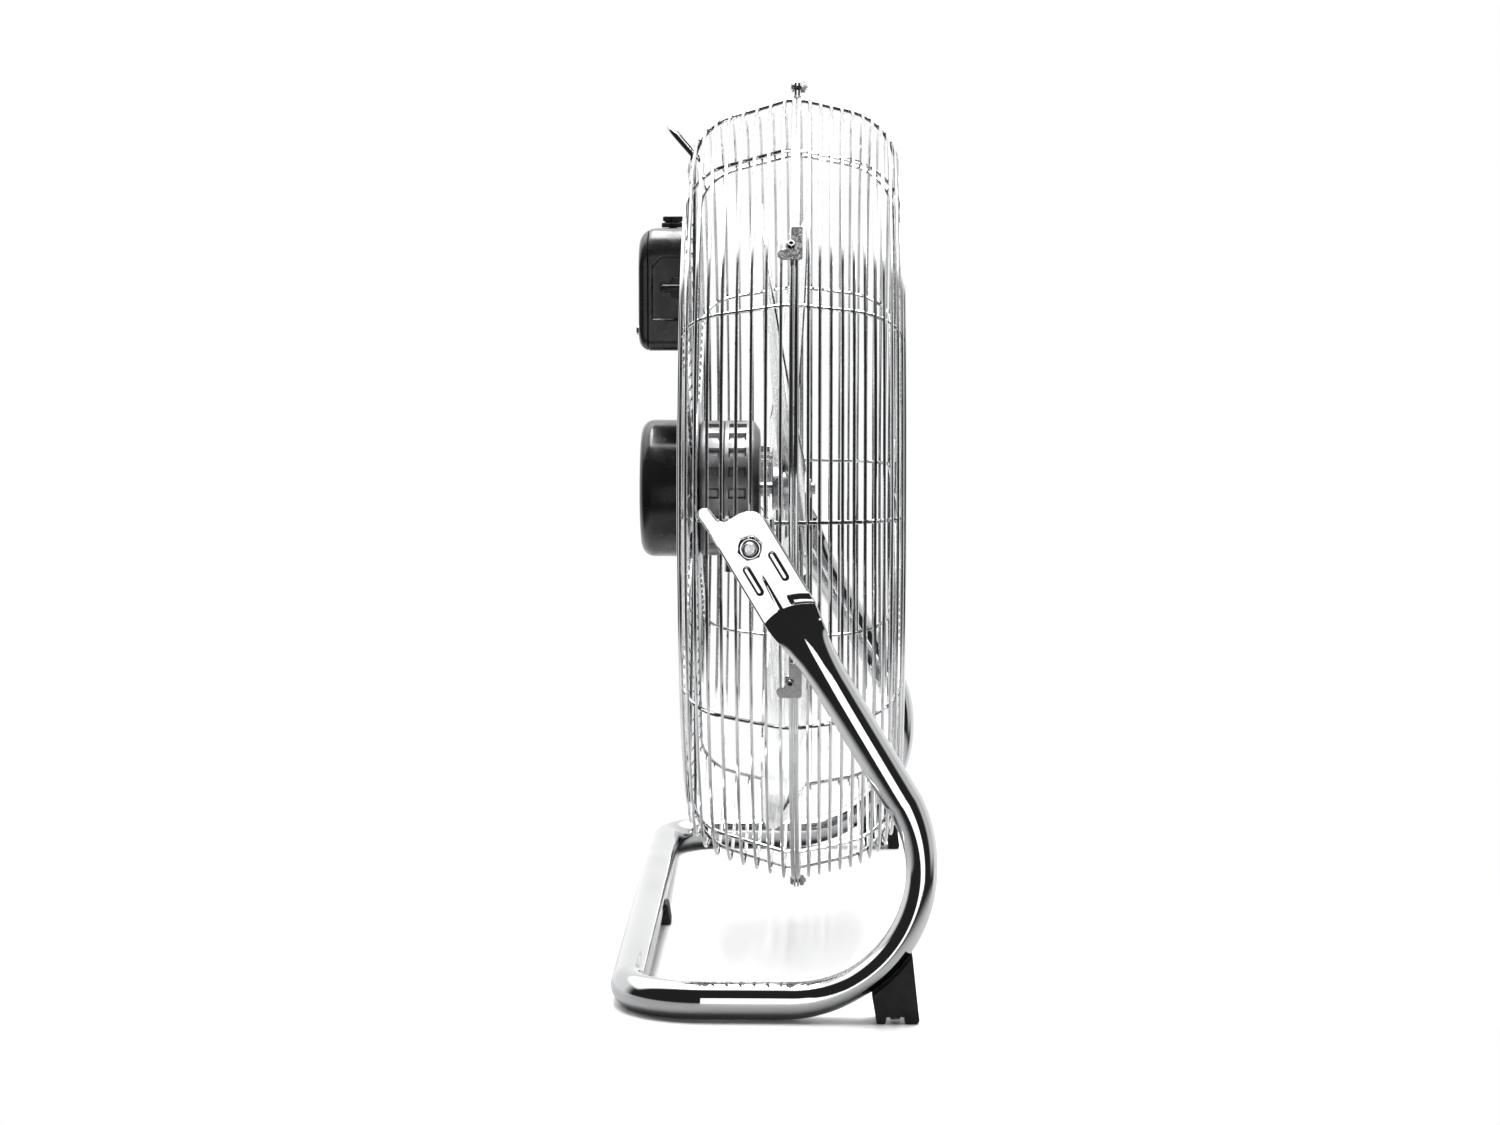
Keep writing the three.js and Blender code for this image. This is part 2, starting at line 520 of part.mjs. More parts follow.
// ---- control box --------------------------------------------------------------------------
{
  const b = box;
  // side outline with rounded rear corners, and end outline with broad shoulders
  const sideOutline = (inset) => {
    const o = new THREE.Shape(), x0 = b.rear + inset, z0 = b.low + inset, z1 = b.high - inset;
    const rt = 11 - inset, rb = 8 - inset;
    o.moveTo(b.front + 5, z0);
    o.lineTo(b.front + 5, z1);
    o.lineTo(x0 + rt, z1);
    o.absarc(x0 + rt, z1 - rt, rt, Math.PI / 2, Math.PI, false);
    o.absarc(x0 + rb, z0 + rb, rb, Math.PI, 1.5 * Math.PI, false);
    return o;
  };
  const endOutline = (inset) => {
    const o = new THREE.Shape(), h = b.half - inset, z0 = b.low + inset, z1 = b.high - inset;
    const rt = 17 - inset, rb = 8 - inset;
    o.moveTo(-h, z0 + rb);
    o.absarc(-h + rb, z0 + rb, rb, Math.PI, 1.5 * Math.PI, false);
    o.absarc(h - rb, z0 + rb, rb, -Math.PI / 2, 0, false);
    o.absarc(h - rt, z1 - rt, rt, 0, Math.PI / 2, false);
    o.absarc(-h + rt, z1 - rt, rt, Math.PI / 2, Math.PI, false);
    return o;
  };
  const form = (inset, front) => {
    const sideways = plateXZ(sideOutline(inset), -b.half - 1, b.half + 1, 4);
    const end = new THREE.ExtrudeGeometry(endOutline(inset), { depth: 60, bevelEnabled: false, curveSegments: 4 })
      .rotateX(Math.PI / 2).rotateZ(Math.PI / 2);
    return sideways.intersect(solid(end).translate([b.rear - 20, 0, 0]))
      .intersect(block(b.rear - 5, front, -60, 60, 60, 200));
  };
  const outer = form(0, b.front), inner = form(b.wall, b.front - b.wall);
  const shell = outer.subtract(inner);
  const seam = b.rear + 6;
  let housing = shell.intersect(block(seam + 0.15, 0, -60, 60, 60, 200));
  housing = housing.subtract(bar('z', 4.2, 160, 175, [knobX, 0, 0], 16));
  housing = housing.subtract(bar('x', 5, b.front - 6, b.front + 4, [0, 0, 118], 12));
  const boss = (y) => bar('x', 3.4, seam + 1, b.front - 1.2, [0, y, 104], 10)
    .subtract(bar('x', 1.7, seam - 1, seam + 14, [0, y, 104], 10));
  housing = housing.add(boss(-30)).add(boss(30));
  piece(head, 'control_box_housing', housing, 'gloss');
  let lid = shell.intersect(block(-120, seam - 0.15, -60, 60, 60, 200));
  for (const y of [-30, 30]) lid = lid.subtract(bar('x', 1.9, b.rear - 2, seam, [0, y, 104], 10));
  piece(head, 'control_box_lid', lid, 'gloss');
  [['left', 30], ['right', -30]].forEach(([name, y]) => {
    const screw = bar('x', 1.45, b.rear - 0.6, seam + 12, [0, y, 104], 10)
      .add(bar('x', 3.2, b.rear - 2, b.rear - 0.3, [0, y, 104], 10));
    piece(head, `lid_screw_${name}`, screw, 'zinc');
  });
  // moulded cable entry on the right-hand wall
  const entry = block(-80, b.front, -b.half - 2.9, -b.half - 0.3, 124.5, 138)
    .add(bar('x', 2.7, -84.5, b.front, [0, -b.half - 2.9, 131.3], 12))
    .add(solid(new THREE.SphereGeometry(2.68, 12, 8).rotateZ(Math.PI / 2)).translate([-84.5, -b.half - 2.9, 131.3]));
  piece(head, 'cable_entry', entry, 'matt');

  // rotary switch under the top wall, its shaft up through the hole
  piece(head, 'speed_switch', block(-91, -75, -13, 13, 145, 166).subtract(
    bar('z', 3.2, 158, 170, [knobX, 0, 0], 16)), 'matt');
  piece(knobs, 'switch_shaft', bar('z', 2.95, 158.4, 174.6, [knobX, 0, 0], 12), 'zinc');
  const knob = new THREE.LatheGeometry([[0, 176.6], [5.8, 176.6], [6.5, 176], [6.5, 173.6], [5.4, 173.2],
    [5.4, 172.6], [7.5, 172.3], [7.5, 169.4], [3.25, 169.4], [3.25, 174.9], [0, 174.9]].map(
    ([r, z]) => new THREE.Vector2(r, z)), 16).rotateX(Math.PI / 2).translate(knobX, 0, 0);
  piece(knobs, 'speed_knob', solid(knob), 'gloss');
}

export default fan;
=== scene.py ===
import json
import math
import bpy
import numpy as np
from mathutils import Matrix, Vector


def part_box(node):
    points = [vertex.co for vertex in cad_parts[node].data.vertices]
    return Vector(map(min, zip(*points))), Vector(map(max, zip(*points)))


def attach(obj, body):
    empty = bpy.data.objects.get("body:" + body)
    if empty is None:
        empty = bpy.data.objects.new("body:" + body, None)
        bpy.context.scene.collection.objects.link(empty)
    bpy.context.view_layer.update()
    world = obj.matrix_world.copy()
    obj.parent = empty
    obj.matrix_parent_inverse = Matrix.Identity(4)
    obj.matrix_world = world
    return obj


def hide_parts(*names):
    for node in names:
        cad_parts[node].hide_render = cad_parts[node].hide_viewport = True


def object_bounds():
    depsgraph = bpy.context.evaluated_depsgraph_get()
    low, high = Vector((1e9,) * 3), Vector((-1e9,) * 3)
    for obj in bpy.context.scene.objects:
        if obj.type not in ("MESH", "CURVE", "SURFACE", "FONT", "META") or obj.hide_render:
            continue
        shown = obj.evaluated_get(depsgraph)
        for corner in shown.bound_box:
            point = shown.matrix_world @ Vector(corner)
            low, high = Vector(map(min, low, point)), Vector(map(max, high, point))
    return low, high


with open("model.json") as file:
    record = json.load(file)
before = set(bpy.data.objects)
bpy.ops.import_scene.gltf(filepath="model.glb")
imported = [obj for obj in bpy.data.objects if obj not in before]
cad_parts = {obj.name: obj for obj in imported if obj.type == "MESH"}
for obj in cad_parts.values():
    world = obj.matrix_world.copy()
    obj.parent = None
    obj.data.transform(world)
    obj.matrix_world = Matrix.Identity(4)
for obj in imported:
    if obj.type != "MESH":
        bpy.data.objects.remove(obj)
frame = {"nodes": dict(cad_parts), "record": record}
cadLow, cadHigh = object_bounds()

# All shapes are drawn in millimetres about the middle of the cage: x blows forward, z is up.
rearLow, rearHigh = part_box("rear_guard")
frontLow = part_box("front_guard")[0]
cageCentre = np.array([(rearHigh.x + frontLow.x) / 2, 0.0, (rearLow.z + rearHigh.z) / 2]) * 1000.0


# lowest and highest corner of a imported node, in millimetres about the middle of the cage
def nodeBox(node):
    low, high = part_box(node)
    return np.array(low) * 1000.0 - cageCentre, np.array(high) * 1000.0 - cageCentre


# Shapes worked out as whole arrays

# corner numbers of a grid's quads; a wrapped side joins its last line to its first
def gridQuads(rows, cols, wrapRows, wrapCols):
    r = np.arange(rows if wrapRows else rows - 1)[:, None]
    c = np.arange(cols if wrapCols else cols - 1)[None, :]
    nextRow = (r + 1) % rows
    nextCol = (c + 1) % cols
    quads = np.stack([r * cols + c, nextRow * cols + c, nextRow * cols + nextCol, r * cols + nextCol], -1)
    return quads.reshape(-1, 4)


# six times the volume under some faces, positive when they look outwards
def volumeUnder(points, faces):
    total = 0.0
    first = points[faces[:, 0]]
    for k in range(1, faces.shape[1] - 1):
        total += np.einsum("ij,ij->", first, np.cross(points[faces[:, k]], points[faces[:, k + 1]]))
    return total


# one closed body: points and faces, all turned to look outwards
def body(points, faceSets):
    middle = points.mean(0)
    volume = sum(volumeUnder(points - middle, f) for f in faceSets)
    if volume < 0:
        faceSets = [f[:, ::-1] for f in faceSets]
    return points, faceSets


# skin over a grid of closed sections; open ends are closed by a fan to the middle of the last section
def skinned(grid, closedRows=False):
    rows, cols = grid.shape[:2]
    points = grid.reshape(-1, 3)
    faceSets = [gridQuads(rows, cols, closedRows, True)]
    if not closedRows:
        count = rows * cols
        c = np.arange(cols)
        nextCol = (c + 1) % cols
        last = (rows - 1) * cols
        points = np.concatenate([points, [grid[0].mean(0), grid[-1].mean(0)]])
        faceSets.append(np.stack([np.full(cols, count), c, nextCol], 1))
        faceSets.append(np.stack([np.full(cols, count + 1), last + nextCol, last + c], 1))
    return body(points, faceSets)


# wire hoops about the X axis: x = place + w sin f and radius = hoop + w cos f, for f round the wire
def wireHoops(places, radii, wires, segments, sides):
    turn = np.linspace(0, 2 * np.pi, segments, endpoint=False)[None, :, None]
    f = np.linspace(0, 2 * np.pi, sides, endpoint=False)[None, None, :]
    places, radii, wires = (np.asarray(v, float)[:, None, None] for v in (places, radii, wires))
    x = places + wires * np.sin(f) + 0 * turn
    r = radii + wires * np.cos(f) + 0 * turn
    grids = np.stack([x, r * np.sin(turn), r * np.cos(turn)], -1)
    return [skinned(grid, closedRows=True) for grid in grids]


# round or oval section carried along a path: point = centre + a cos t u + b sin t w
def carried(centres, u, w, a, b, sides, closed=False):
    t = np.linspace(0, 2 * np.pi, sides, endpoint=False)
    n = len(centres)
    a = np.broadcast_to(np.asarray(a, float), (n,))[:, None, None]
    b = np.broadcast_to(np.asarray(b, float), (n,))[:, None, None]
    u = np.broadcast_to(np.asarray(u, float), (n, 3))[:, None, :]
    w = np.broadcast_to(np.asarray(w, float), (n, 3))[:, None, :]
    grid = centres[:, None, :] + a * np.cos(t)[None, :, None] * u + b * np.sin(t)[None, :, None] * w
    return skinned(grid, closed)


# unit directions along a row of points
def directions(points):
    step = np.gradient(points, axis=0)
    return step / np.linalg.norm(step, axis=1)[:, None]


# outline whose corners give way to arcs that touch both sides; an open one keeps its two end points
def rounded(corners, radii, steps=6, openEnds=False):
    corner = np.asarray(corners, float)
    radius = np.broadcast_to(np.asarray(radii, float), (len(corner),)).copy()
    before = np.roll(corner, 1, 0) - corner
    after = np.roll(corner, -1, 0) - corner
    before /= np.linalg.norm(before, axis=1)[:, None]
    after /= np.linalg.norm(after, axis=1)[:, None]
    half = 0.5 * np.arccos(np.clip((before * after).sum(1), -0.999999, 0.999999))
    middle = before + after
    middle /= np.linalg.norm(middle, axis=1)[:, None] + 1e-12
    centre = corner + middle * (radius / np.sin(half))[:, None]
    start = corner + before * (radius / np.tan(half))[:, None] - centre
    end = corner + after * (radius / np.tan(half))[:, None] - centre
    startAngle = np.arctan2(start[:, 1], start[:, 0])
    sweep = (np.arctan2(end[:, 1], end[:, 0]) - startAngle + np.pi) % (2 * np.pi) - np.pi
    angle = startAngle[:, None] + sweep[:, None] * np.linspace(0, 1, steps)
    arcs = centre[:, None, :] + radius[:, None, None] * np.stack([np.cos(angle), np.sin(angle)], -1)
    if openEnds:
        return np.concatenate([corner[:1], arcs[1:-1].reshape(-1, 2), corner[-1:]])
    return arcs.reshape(-1, 2)


# Body of revolution about X: the distance along and the radius of a profile, turned full circle.
# shape(along, radius, turn) may give each point another radius.
def spun(profile, segments=64, shape=None, closed=False):
    along = profile[:, 0][:, None]
    radius = profile[:, 1][:, None]
    turn = np.linspace(0, 2 * np.pi, segments, endpoint=False)[None, :]
    r = radius + 0 * turn if shape is None else shape(along, radius, turn)
    grid = np.stack([along + 0 * turn, r * np.sin(turn), r * np.cos(turn)], -1)
    return skinned(grid, closed)


# flat outline given a thickness: the same outline at two heights and a band between them
def slab(outline, low, high):
    n = len(outline)
    flat = np.concatenate([outline, outline])
    points = np.column_stack([flat, np.repeat([low, high], n)])
    c = np.arange(n)
    nextOne = (c + 1) % n
    band = np.stack([c, nextOne, n + nextOne, n + c], 1)
    return body(points, [band, c[None, ::-1], (n + c)[None, :]])


# moves a body from its own axes: the first goes along, the second across, the third as their cross product
def placed(shape, along, across, centre=(0, 0, 0)):
    points, faceSets = shape
    along, across = np.asarray(along, float), np.asarray(across, float)
    turn = np.array([along, across, np.cross(along, across)])
    return body(points @ turn + np.asarray(centre, float), faceSets)


chamferAngle = 24   # between a nut's face and its turned-off corners


# hexagon with its corners turned off: the smaller of the hexagon and a flat cone that starts at each face
def hexRadius(acrossFlats, low, high):
    def shape(along, radius, turn):
        side = np.abs((turn + np.pi / 6) % (np.pi / 3) - np.pi / 6)
        flat = acrossFlats / 2 / np.cos(side)
        inward = np.minimum(along - low, high - along)
        cone = acrossFlats / 2 * 0.9 + inward / math.tan(math.radians(chamferAngle))
        return np.where(radius > acrossFlats * 0.44, np.minimum(flat, cone), radius + 0 * turn)
    return shape


def hexBody(acrossFlats, low, high, bore, sink=0.4):
    outer = acrossFlats / 2
    drop = (high - low) * np.array([0, 0.05, 0.11, 0.17, 0.24, 0.32])
    profile = [[low, bore + 0.4], [low, outer]] + [[low + d, outer] for d in drop[1:]]
    profile += [[high - d, outer] for d in drop[:0:-1]] + [[high, outer], [high, bore + sink]]
    profile += [[high - 0.45 * sink, bore], [low + 0.2, bore]]
    return spun(np.array(profile), 72, hexRadius(acrossFlats, low, high), closed=True)


# bolt end: a rod whose radius ripples once each pitch, with a chamfered tip
def threaded(radius, low, high, pitch, steps=10):
    along = np.linspace(low, high, int((high - low) / pitch * steps))
    ripple = radius - 0.16 * pitch * (1 - np.cos(2 * np.pi * (along - low) / pitch))
    tip = np.minimum(ripple, radius - 1.1 + (high - along) * 1.1)
    return spun(np.column_stack([along, tip]), 40)


# puts bodies into one mesh in metres in the fan's frame, rides it on its body and gives it its finish
def makePiece(name, shapes, rides, finishName, replaced=(), crease=38, bevel=0.0, bevelSteps=2):
    points, corners, starts, offset, cornerCount = [], [], [], 0, 0
    for shape, faceSets in shapes:
        for faces in faceSets:
            size = faces.shape[1]
            corners.append((faces + offset).ravel())
            starts.append(cornerCount + np.arange(len(faces)) * size)
            cornerCount += faces.size
        points.append(shape)
        offset += len(shape)
    co = (np.concatenate(points) + cageCentre) / 1000.0
    mesh = bpy.data.meshes.new(name)
    mesh.vertices.add(len(co))
    mesh.vertices.foreach_set("co", co.ravel())
    mesh.loops.add(cornerCount)
    mesh.loops.foreach_set("vertex_index", np.concatenate(corners).astype(np.int32))
    starts = np.concatenate(starts).astype(np.int32)
    mesh.polygons.add(len(starts))
    mesh.polygons.foreach_set("loop_start", starts)
    mesh.polygons.foreach_set("use_smooth", np.ones(len(starts), bool))
    mesh.update(calc_edges=True)
    mesh.validate()
    mesh.set_sharp_from_angle(angle=math.radians(crease))
    mesh.materials.append(finishes[finishName])
    piece = bpy.data.objects.new(name, mesh)
    bpy.context.scene.collection.objects.link(piece)
    if bevel:
        edge = piece.modifiers.new("softEdges", "BEVEL")
        edge.width = bevel / 1000.0
        edge.segments = bevelSteps
        edge.limit_method = "ANGLE"
        edge.angle_limit = math.radians(35)
        edge.harden_normals = True
    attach(piece, rides)
    if replaced:
        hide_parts(*replaced)
    return piece


# Finishes

# Each finish drifts between two tones, wanders between two roughnesses and has a fine grain as its bump.
# Sizes are in millimetres: drift is the size of the tone patches, haze of the dull patches, grain of the bump.
finishSettings = {
    "mirrorChrome": {"tones": ((0.54, 0.545, 0.55), (0.49, 0.495, 0.505)), "metal": 1.0, "rough": (0.03, 0.085),
                     "drift": 60, "haze": 34, "grain": 2.6, "depth": 0.006, "stretch": (1, 1, 1)},
    "wireChrome": {"tones": ((0.68, 0.685, 0.69), (0.6, 0.605, 0.615)), "metal": 1.0, "rough": (0.07, 0.17),
                   "drift": 40, "haze": 16, "grain": 1.4, "depth": 0.012, "stretch": (1, 1, 1)},
    "zincPlate": {"tones": ((0.5, 0.505, 0.515), (0.4, 0.405, 0.42)), "metal": 1.0, "rough": (0.24, 0.42),
                  "drift": 9, "haze": 5, "grain": 0.7, "depth": 0.02, "stretch": (1, 1, 1)},
    "dullZinc": {"tones": ((0.46, 0.46, 0.47), (0.32, 0.32, 0.33)), "metal": 1.0, "rough": (0.14, 0.22),
                 "drift": 1.6, "haze": 3, "grain": 0.7, "depth": 0.022, "stretch": (1, 1, 1)},
    "glossBlack": {"tones": ((0.014, 0.014, 0.015), (0.022, 0.022, 0.024)), "metal": 0.0, "rough": (0.19, 0.3),
                   "drift": 30, "haze": 11, "grain": 2.2, "depth": 0.012, "stretch": (1, 1, 1)},
    "satinBlack": {"tones": ((0.022, 0.022, 0.023), (0.034, 0.034, 0.036)), "metal": 0.0, "rough": (0.24, 0.34),
                   "drift": 26, "haze": 9, "grain": 0.8, "depth": 0.012, "stretch": (1, 1, 1), "ior": 1.62},
    "mattBlack": {"tones": ((0.007, 0.007, 0.0075), (0.012, 0.012, 0.0125)), "metal": 0.0,
                  "rough": (0.46, 0.64), "drift": 12, "haze": 6, "grain": 0.45,
                  "depth": 0.03, "stretch": (1, 1, 1), "ior": 1.33},
    "footRubber": {"tones": ((0.02, 0.02, 0.02), (0.032, 0.031, 0.03)), "metal": 0.0, "rough": (0.68, 0.86),
                   "drift": 10, "haze": 5, "grain": 0.6, "depth": 0.05, "stretch": (1, 1, 1)},
    "castAluminium": {"tones": ((0.3, 0.3, 0.305), (0.22, 0.22, 0.225)), "metal": 1.0, "rough": (0.36, 0.55),
                      "drift": 14, "haze": 7, "grain": 0.8, "depth": 0.06, "stretch": (1, 1, 1)},
    "bladeAluminium": {"tones": ((0.92, 0.922, 0.925), (0.86, 0.862, 0.87)), "metal": 1.0, "rough": (0.16, 0.3),
                       "drift": 30, "haze": 20, "grain": 6.0, "depth": 0.002, "stretch": (1, 4, 0.4)},
    "laminatedSteel": {"tones": ((0.32, 0.32, 0.34), (0.22, 0.22, 0.24)), "metal": 1.0, "rough": (0.4, 0.6),
                       "drift": 6, "haze": 4, "grain": 1.0, "depth": 0.05, "stretch": (30, 1, 1)},
    "copperWinding": {"tones": ((0.62, 0.3, 0.13), (0.45, 0.2, 0.08)), "metal": 1.0, "rough": (0.3, 0.48),
                      "drift": 8, "haze": 5, "grain": 1.2, "depth": 0.08, "stretch": (1, 5, 1)},
}


# noise of a given patch size in millimetres on the object's own coordinates
def patches(tree, place, size, detail, seed, stretch=(1, 1, 1)):
    move = tree.nodes.new("ShaderNodeMapping")
    move.inputs["Location"].default_value = (seed, seed * 0.7, seed * 1.3)
    move.inputs["Scale"].default_value = tuple(1000.0 / size * s for s in stretch)
    noise = tree.nodes.new("ShaderNodeTexNoise")
    noise.inputs["Scale"].default_value = 1.0
    noise.inputs["Detail"].default_value = detail
    noise.inputs["Roughness"].default_value = 0.55
    tree.links.new(place, move.inputs["Vector"])
    tree.links.new(move.outputs["Vector"], noise.inputs["Vector"])
    return noise.outputs["Fac"]


# a value from one range carried into another along a smooth curve
def ranged(tree, value, low, high, newLow, newHigh):
    node = tree.nodes.new("ShaderNodeMapRange")
    node.interpolation_type = "SMOOTHSTEP"
    node.inputs["From Min"].default_value = low
    node.inputs["From Max"].default_value = high
    node.inputs["To Min"].default_value = newLow
    node.inputs["To Max"].default_value = newHigh
    tree.links.new(value, node.inputs["Value"])
    return node.outputs["Result"]


def makeFinish(name, look):
    material = bpy.data.materials.new(name)
    material.use_nodes = True
    tree = material.node_tree
    shader = tree.nodes["Principled BSDF"]
    place = tree.nodes.new("ShaderNodeTexCoord").outputs["Object"]
    tone = tree.nodes.new("ShaderNodeMix")
    tone.data_type = "RGBA"
    tone.inputs["A"].default_value = (*look["tones"][0], 1)
    tone.inputs["B"].default_value = (*look["tones"][1], 1)
    drift = patches(tree, place, look["drift"], 4, 3.1, look["stretch"])
    tree.links.new(ranged(tree, drift, 0.35, 0.68, 0, 1), tone.inputs["Factor"])
    tree.links.new(tone.outputs["Result"], shader.inputs["Base Color"])
    haze = patches(tree, place, look["haze"], 6, 7.7)
    tree.links.new(ranged(tree, haze, 0.38, 0.7, *look["rough"]), shader.inputs["Roughness"])
    bump = tree.nodes.new("ShaderNodeBump")
    bump.inputs["Strength"].default_value = 1.0
    bump.inputs["Distance"].default_value = look["depth"] / 1000.0
    tree.links.new(patches(tree, place, look["grain"], 3, 1.9, look["stretch"]), bump.inputs["Height"])
    tree.links.new(bump.outputs["Normal"], shader.inputs["Normal"])
    shader.inputs["Metallic"].default_value = look["metal"]
    shader.inputs["IOR"].default_value = look.get("ior", 1.5)
    return material


finishes = {name: makeFinish(name, look) for name, look in finishSettings.items()}
slotFinishes = {
    "chrome_steel": "mirrorChrome", "chrome_wire": "wireChrome", "zinc_steel": "zincPlate",
    "cast_aluminium": "castAluminium", "blade_aluminium": "bladeAluminium",
    "lamination_steel": "laminatedSteel", "copper_winding": "copperWinding", "gloss_black": "glossBlack",
    "black_plastic": "mattBlack", "black_rubber": "footRubber",
}
for part in frame["record"]["subparts"]:
    node = frame["nodes"][part["node"]]
    node.data.materials.clear()
    node.data.materials.append(finishes[slotFinishes[part["material_slot"]]])
print("finishes ready:", len(finishes))


# Guards

guards = {
    "rear": {"side": -1, "wallStart": 6.5, "taper": 17.0, "corner": 35.0, "face": 68.7, "firstRing": 7.8,
             "pitch": 9.1, "facePitch": 9.3, "hub": 50.0},
    "front": {"side": 1, "wallStart": 3.2, "taper": 12.7, "corner": 42.0, "face": 66.0, "firstRing": 8.5,
              "pitch": 6.9, "facePitch": 7.3, "hub": 38.0},
}
wires = {"hoopRadius": 253.0, "hoop": 1.42, "hoopPlace": 1.5, "ring": 1.05, "rib": 1.2, "hub": 1.6,
         "ribCount": 12, "segments": 128, "sides": 8}


# Side of the drum by distance s from the seam: a straight start, a tapered wall, an arc and a flat face.
# Gives the distance from the seam, the radius and the angle that the surface has turned.
def drumProfile(g, s):
    a = math.radians(g["taper"])
    wall = (g["face"] - g["wallStart"] - g["corner"] * (1 - math.sin(a))) / math.cos(a)
    arc = g["corner"] * (math.pi / 2 - a)
    arcX = g["wallStart"] + wall * math.cos(a)
    arcR = wires["hoopRadius"] - wall * math.sin(a)
    faceR = arcR - g["corner"] * math.cos(a)
    d = s - g["wallStart"]
    b = a + (d - wall) / g["corner"]
    zones = [d < 0, d < wall, d < wall + arc]
    x = np.select(zones, [s, g["wallStart"] + d * math.cos(a), arcX + g["corner"] * (np.sin(b) - math.sin(a))],
                  g["face"])
    r = np.select(zones, [wires["hoopRadius"] + 0 * s, wires["hoopRadius"] - d * math.sin(a),
                          arcR - g["corner"] * (math.cos(a) - np.cos(b))], faceR - (d - wall - arc))
    return x, r, np.select(zones, [0 * s, a + 0 * s, b], math.pi / 2), g["wallStart"] + wall + arc, faceR


# a rib follows the drum's profile just under the rings: point = profile - depth along the surface's normal
def drumRib(g, angle):
    end = drumProfile(g, np.zeros(1))[3] + drumProfile(g, np.zeros(1))[4] - g["hub"]
    s = np.concatenate([[0.2, 0.6], np.linspace(1.6, end, 74)])
    x, r, a, _, _ = drumProfile(g, s)
    depth = wires["ring"] + wires["rib"] - 0.12 + 0.5 * np.clip(1 - s / 7, 0, 1)
    radius = np.full(len(s), wires["rib"])
    radius[0] = wires["rib"] * 0.6
    out = np.array([0, math.sin(angle), math.cos(angle)])
    across = np.array([0, math.cos(angle), -math.sin(angle)])
    centres = (r - depth * np.cos(a))[:, None] * out
    centres[:, 0] += g["side"] * (x - depth * np.sin(a))
    u = np.cos(a)[:, None] * out
    u[:, 0] += g["side"] * np.sin(a)
    return carried(centres, u, across, radius, radius, wires["sides"])


def drumWires(g):
    _, _, _, faceStart, faceR = drumProfile(g, np.zeros(1))
    wallRings = np.arange(g["firstRing"], faceStart - 2, g["pitch"])
    faceRings = np.arange(wallRings[-1] + g["facePitch"], faceStart + faceR - g["hub"] - 4, g["facePitch"])
    x, r, a, _, _ = drumProfile(g, np.concatenate([wallRings, faceRings]))
    shapes = wireHoops(g["side"] * x, r, np.full(len(x), wires["ring"]), wires["segments"], wires["sides"])
    shapes += wireHoops([g["side"] * wires["hoopPlace"]], [wires["hoopRadius"]], [wires["hoop"]], 160, 12)
    hubX = g["face"] - wires["ring"] - wires["rib"] + 0.12
    shapes += wireHoops([g["side"] * hubX], [g["hub"]], [wires["hub"]], 72, 10)
    angles = np.arange(wires["ribCount"]) * 2 * np.pi / wires["ribCount"]
    return shapes + [drumRib(g, angle) for angle in angles]


makePiece("rearGuardWires", drumWires(guards["rear"]), "head", "wireChrome", ["rear_guard"])
makePiece("frontGuardWires", drumWires(guards["front"]), "head", "wireChrome", ["front_guard"])

seam = {"radius": 253.0, "halfWidth": 4.5, "height": 11.0, "screwHeight": 6.5, "thickness": 1.3, "gap": 0.45}


# an ear is an outline across the rim, rounded outside, given its thickness along X
def seamEar(side, up):
    half = seam["halfWidth"]
    corners = [(-half, -1.2), (half, -1.2), (half, seam["height"]), (-half, seam["height"])]
    outline = rounded(corners, [0.2, 0.2, 3.6, 3.6])
    low, high = seam["gap"], seam["gap"] + seam["thickness"]
    if side < 0:
        low, high = -high, -low
    ear = slab(outline, low, high)
    # outline goes across (Y) and outwards (Z); its thickness goes along X
    return placed(ear, (0, up, 0), (0, 0, up), (0, 0, up * seam["radius"]))


for name, side in (("rear", -1), ("front", 1)):
    makePiece(name + "SeamEars", [seamEar(side, 1), seamEar(side, -1)], "head", "wireChrome",
              bevel=0.3)


# pan-head screw with a hexagon socket: the socket's rows follow a hexagon, the others a circle
def socketScrew(headRadius, low, high, socket):
    h = high - low
    profile = np.array([[high, headRadius * 0.8], [high - 0.1 * h, headRadius], [low + 0.55 * h, headRadius],
                        [low + 0.2 * h, headRadius * 0.86], [low, headRadius * 0.62], [low, socket * 1.02],
                        [low + 0.1, socket], [low + 0.75 * h, socket * 0.999]])

    def shape(along, radius, turn):
        side = np.abs((turn + np.pi / 6) % (np.pi / 3) - np.pi / 6)
        return np.where(radius < socket * 1.01, radius * 0.9 / np.cos(side), radius + 0 * turn)
    return spun(profile, 48, shape)


for name, up in (("top", 1), ("bottom", -1)):
    at = (0, 0, up * (seam["radius"] + seam["screwHeight"]))
    screw = [placed(socketScrew(3.4, -4.2, -2.0, 1.5), (1, 0, 0), (0, 1, 0), at),
             placed(threaded(1.95, -2.4, 6.5, 0.8), (1, 0, 0), (0, 1, 0), at)]
    makePiece("seamScrew" + name.capitalize(), screw, "head", "zincPlate", ["seam_screw_" + name])
    nut = placed(hexBody(6.9, 2.1, 5.1, 2.0), (1, 0, 0), (0, 1, 0), at)
    makePiece("seamNut" + name.capitalize(), [nut], "head", "zincPlate", ["seam_nut_" + name])
print("guards ready")


# Rim latches

latchPlaces = {"left_upper": 52.7, "left_lower": 113.4, "right_upper": -52.7, "right_lower": -113.4}
latch = {"rim": 253.0, "plateLow": 254.95, "plateHigh": 256.35, "rivetX": -2.0, "rivetUp": 6.9}


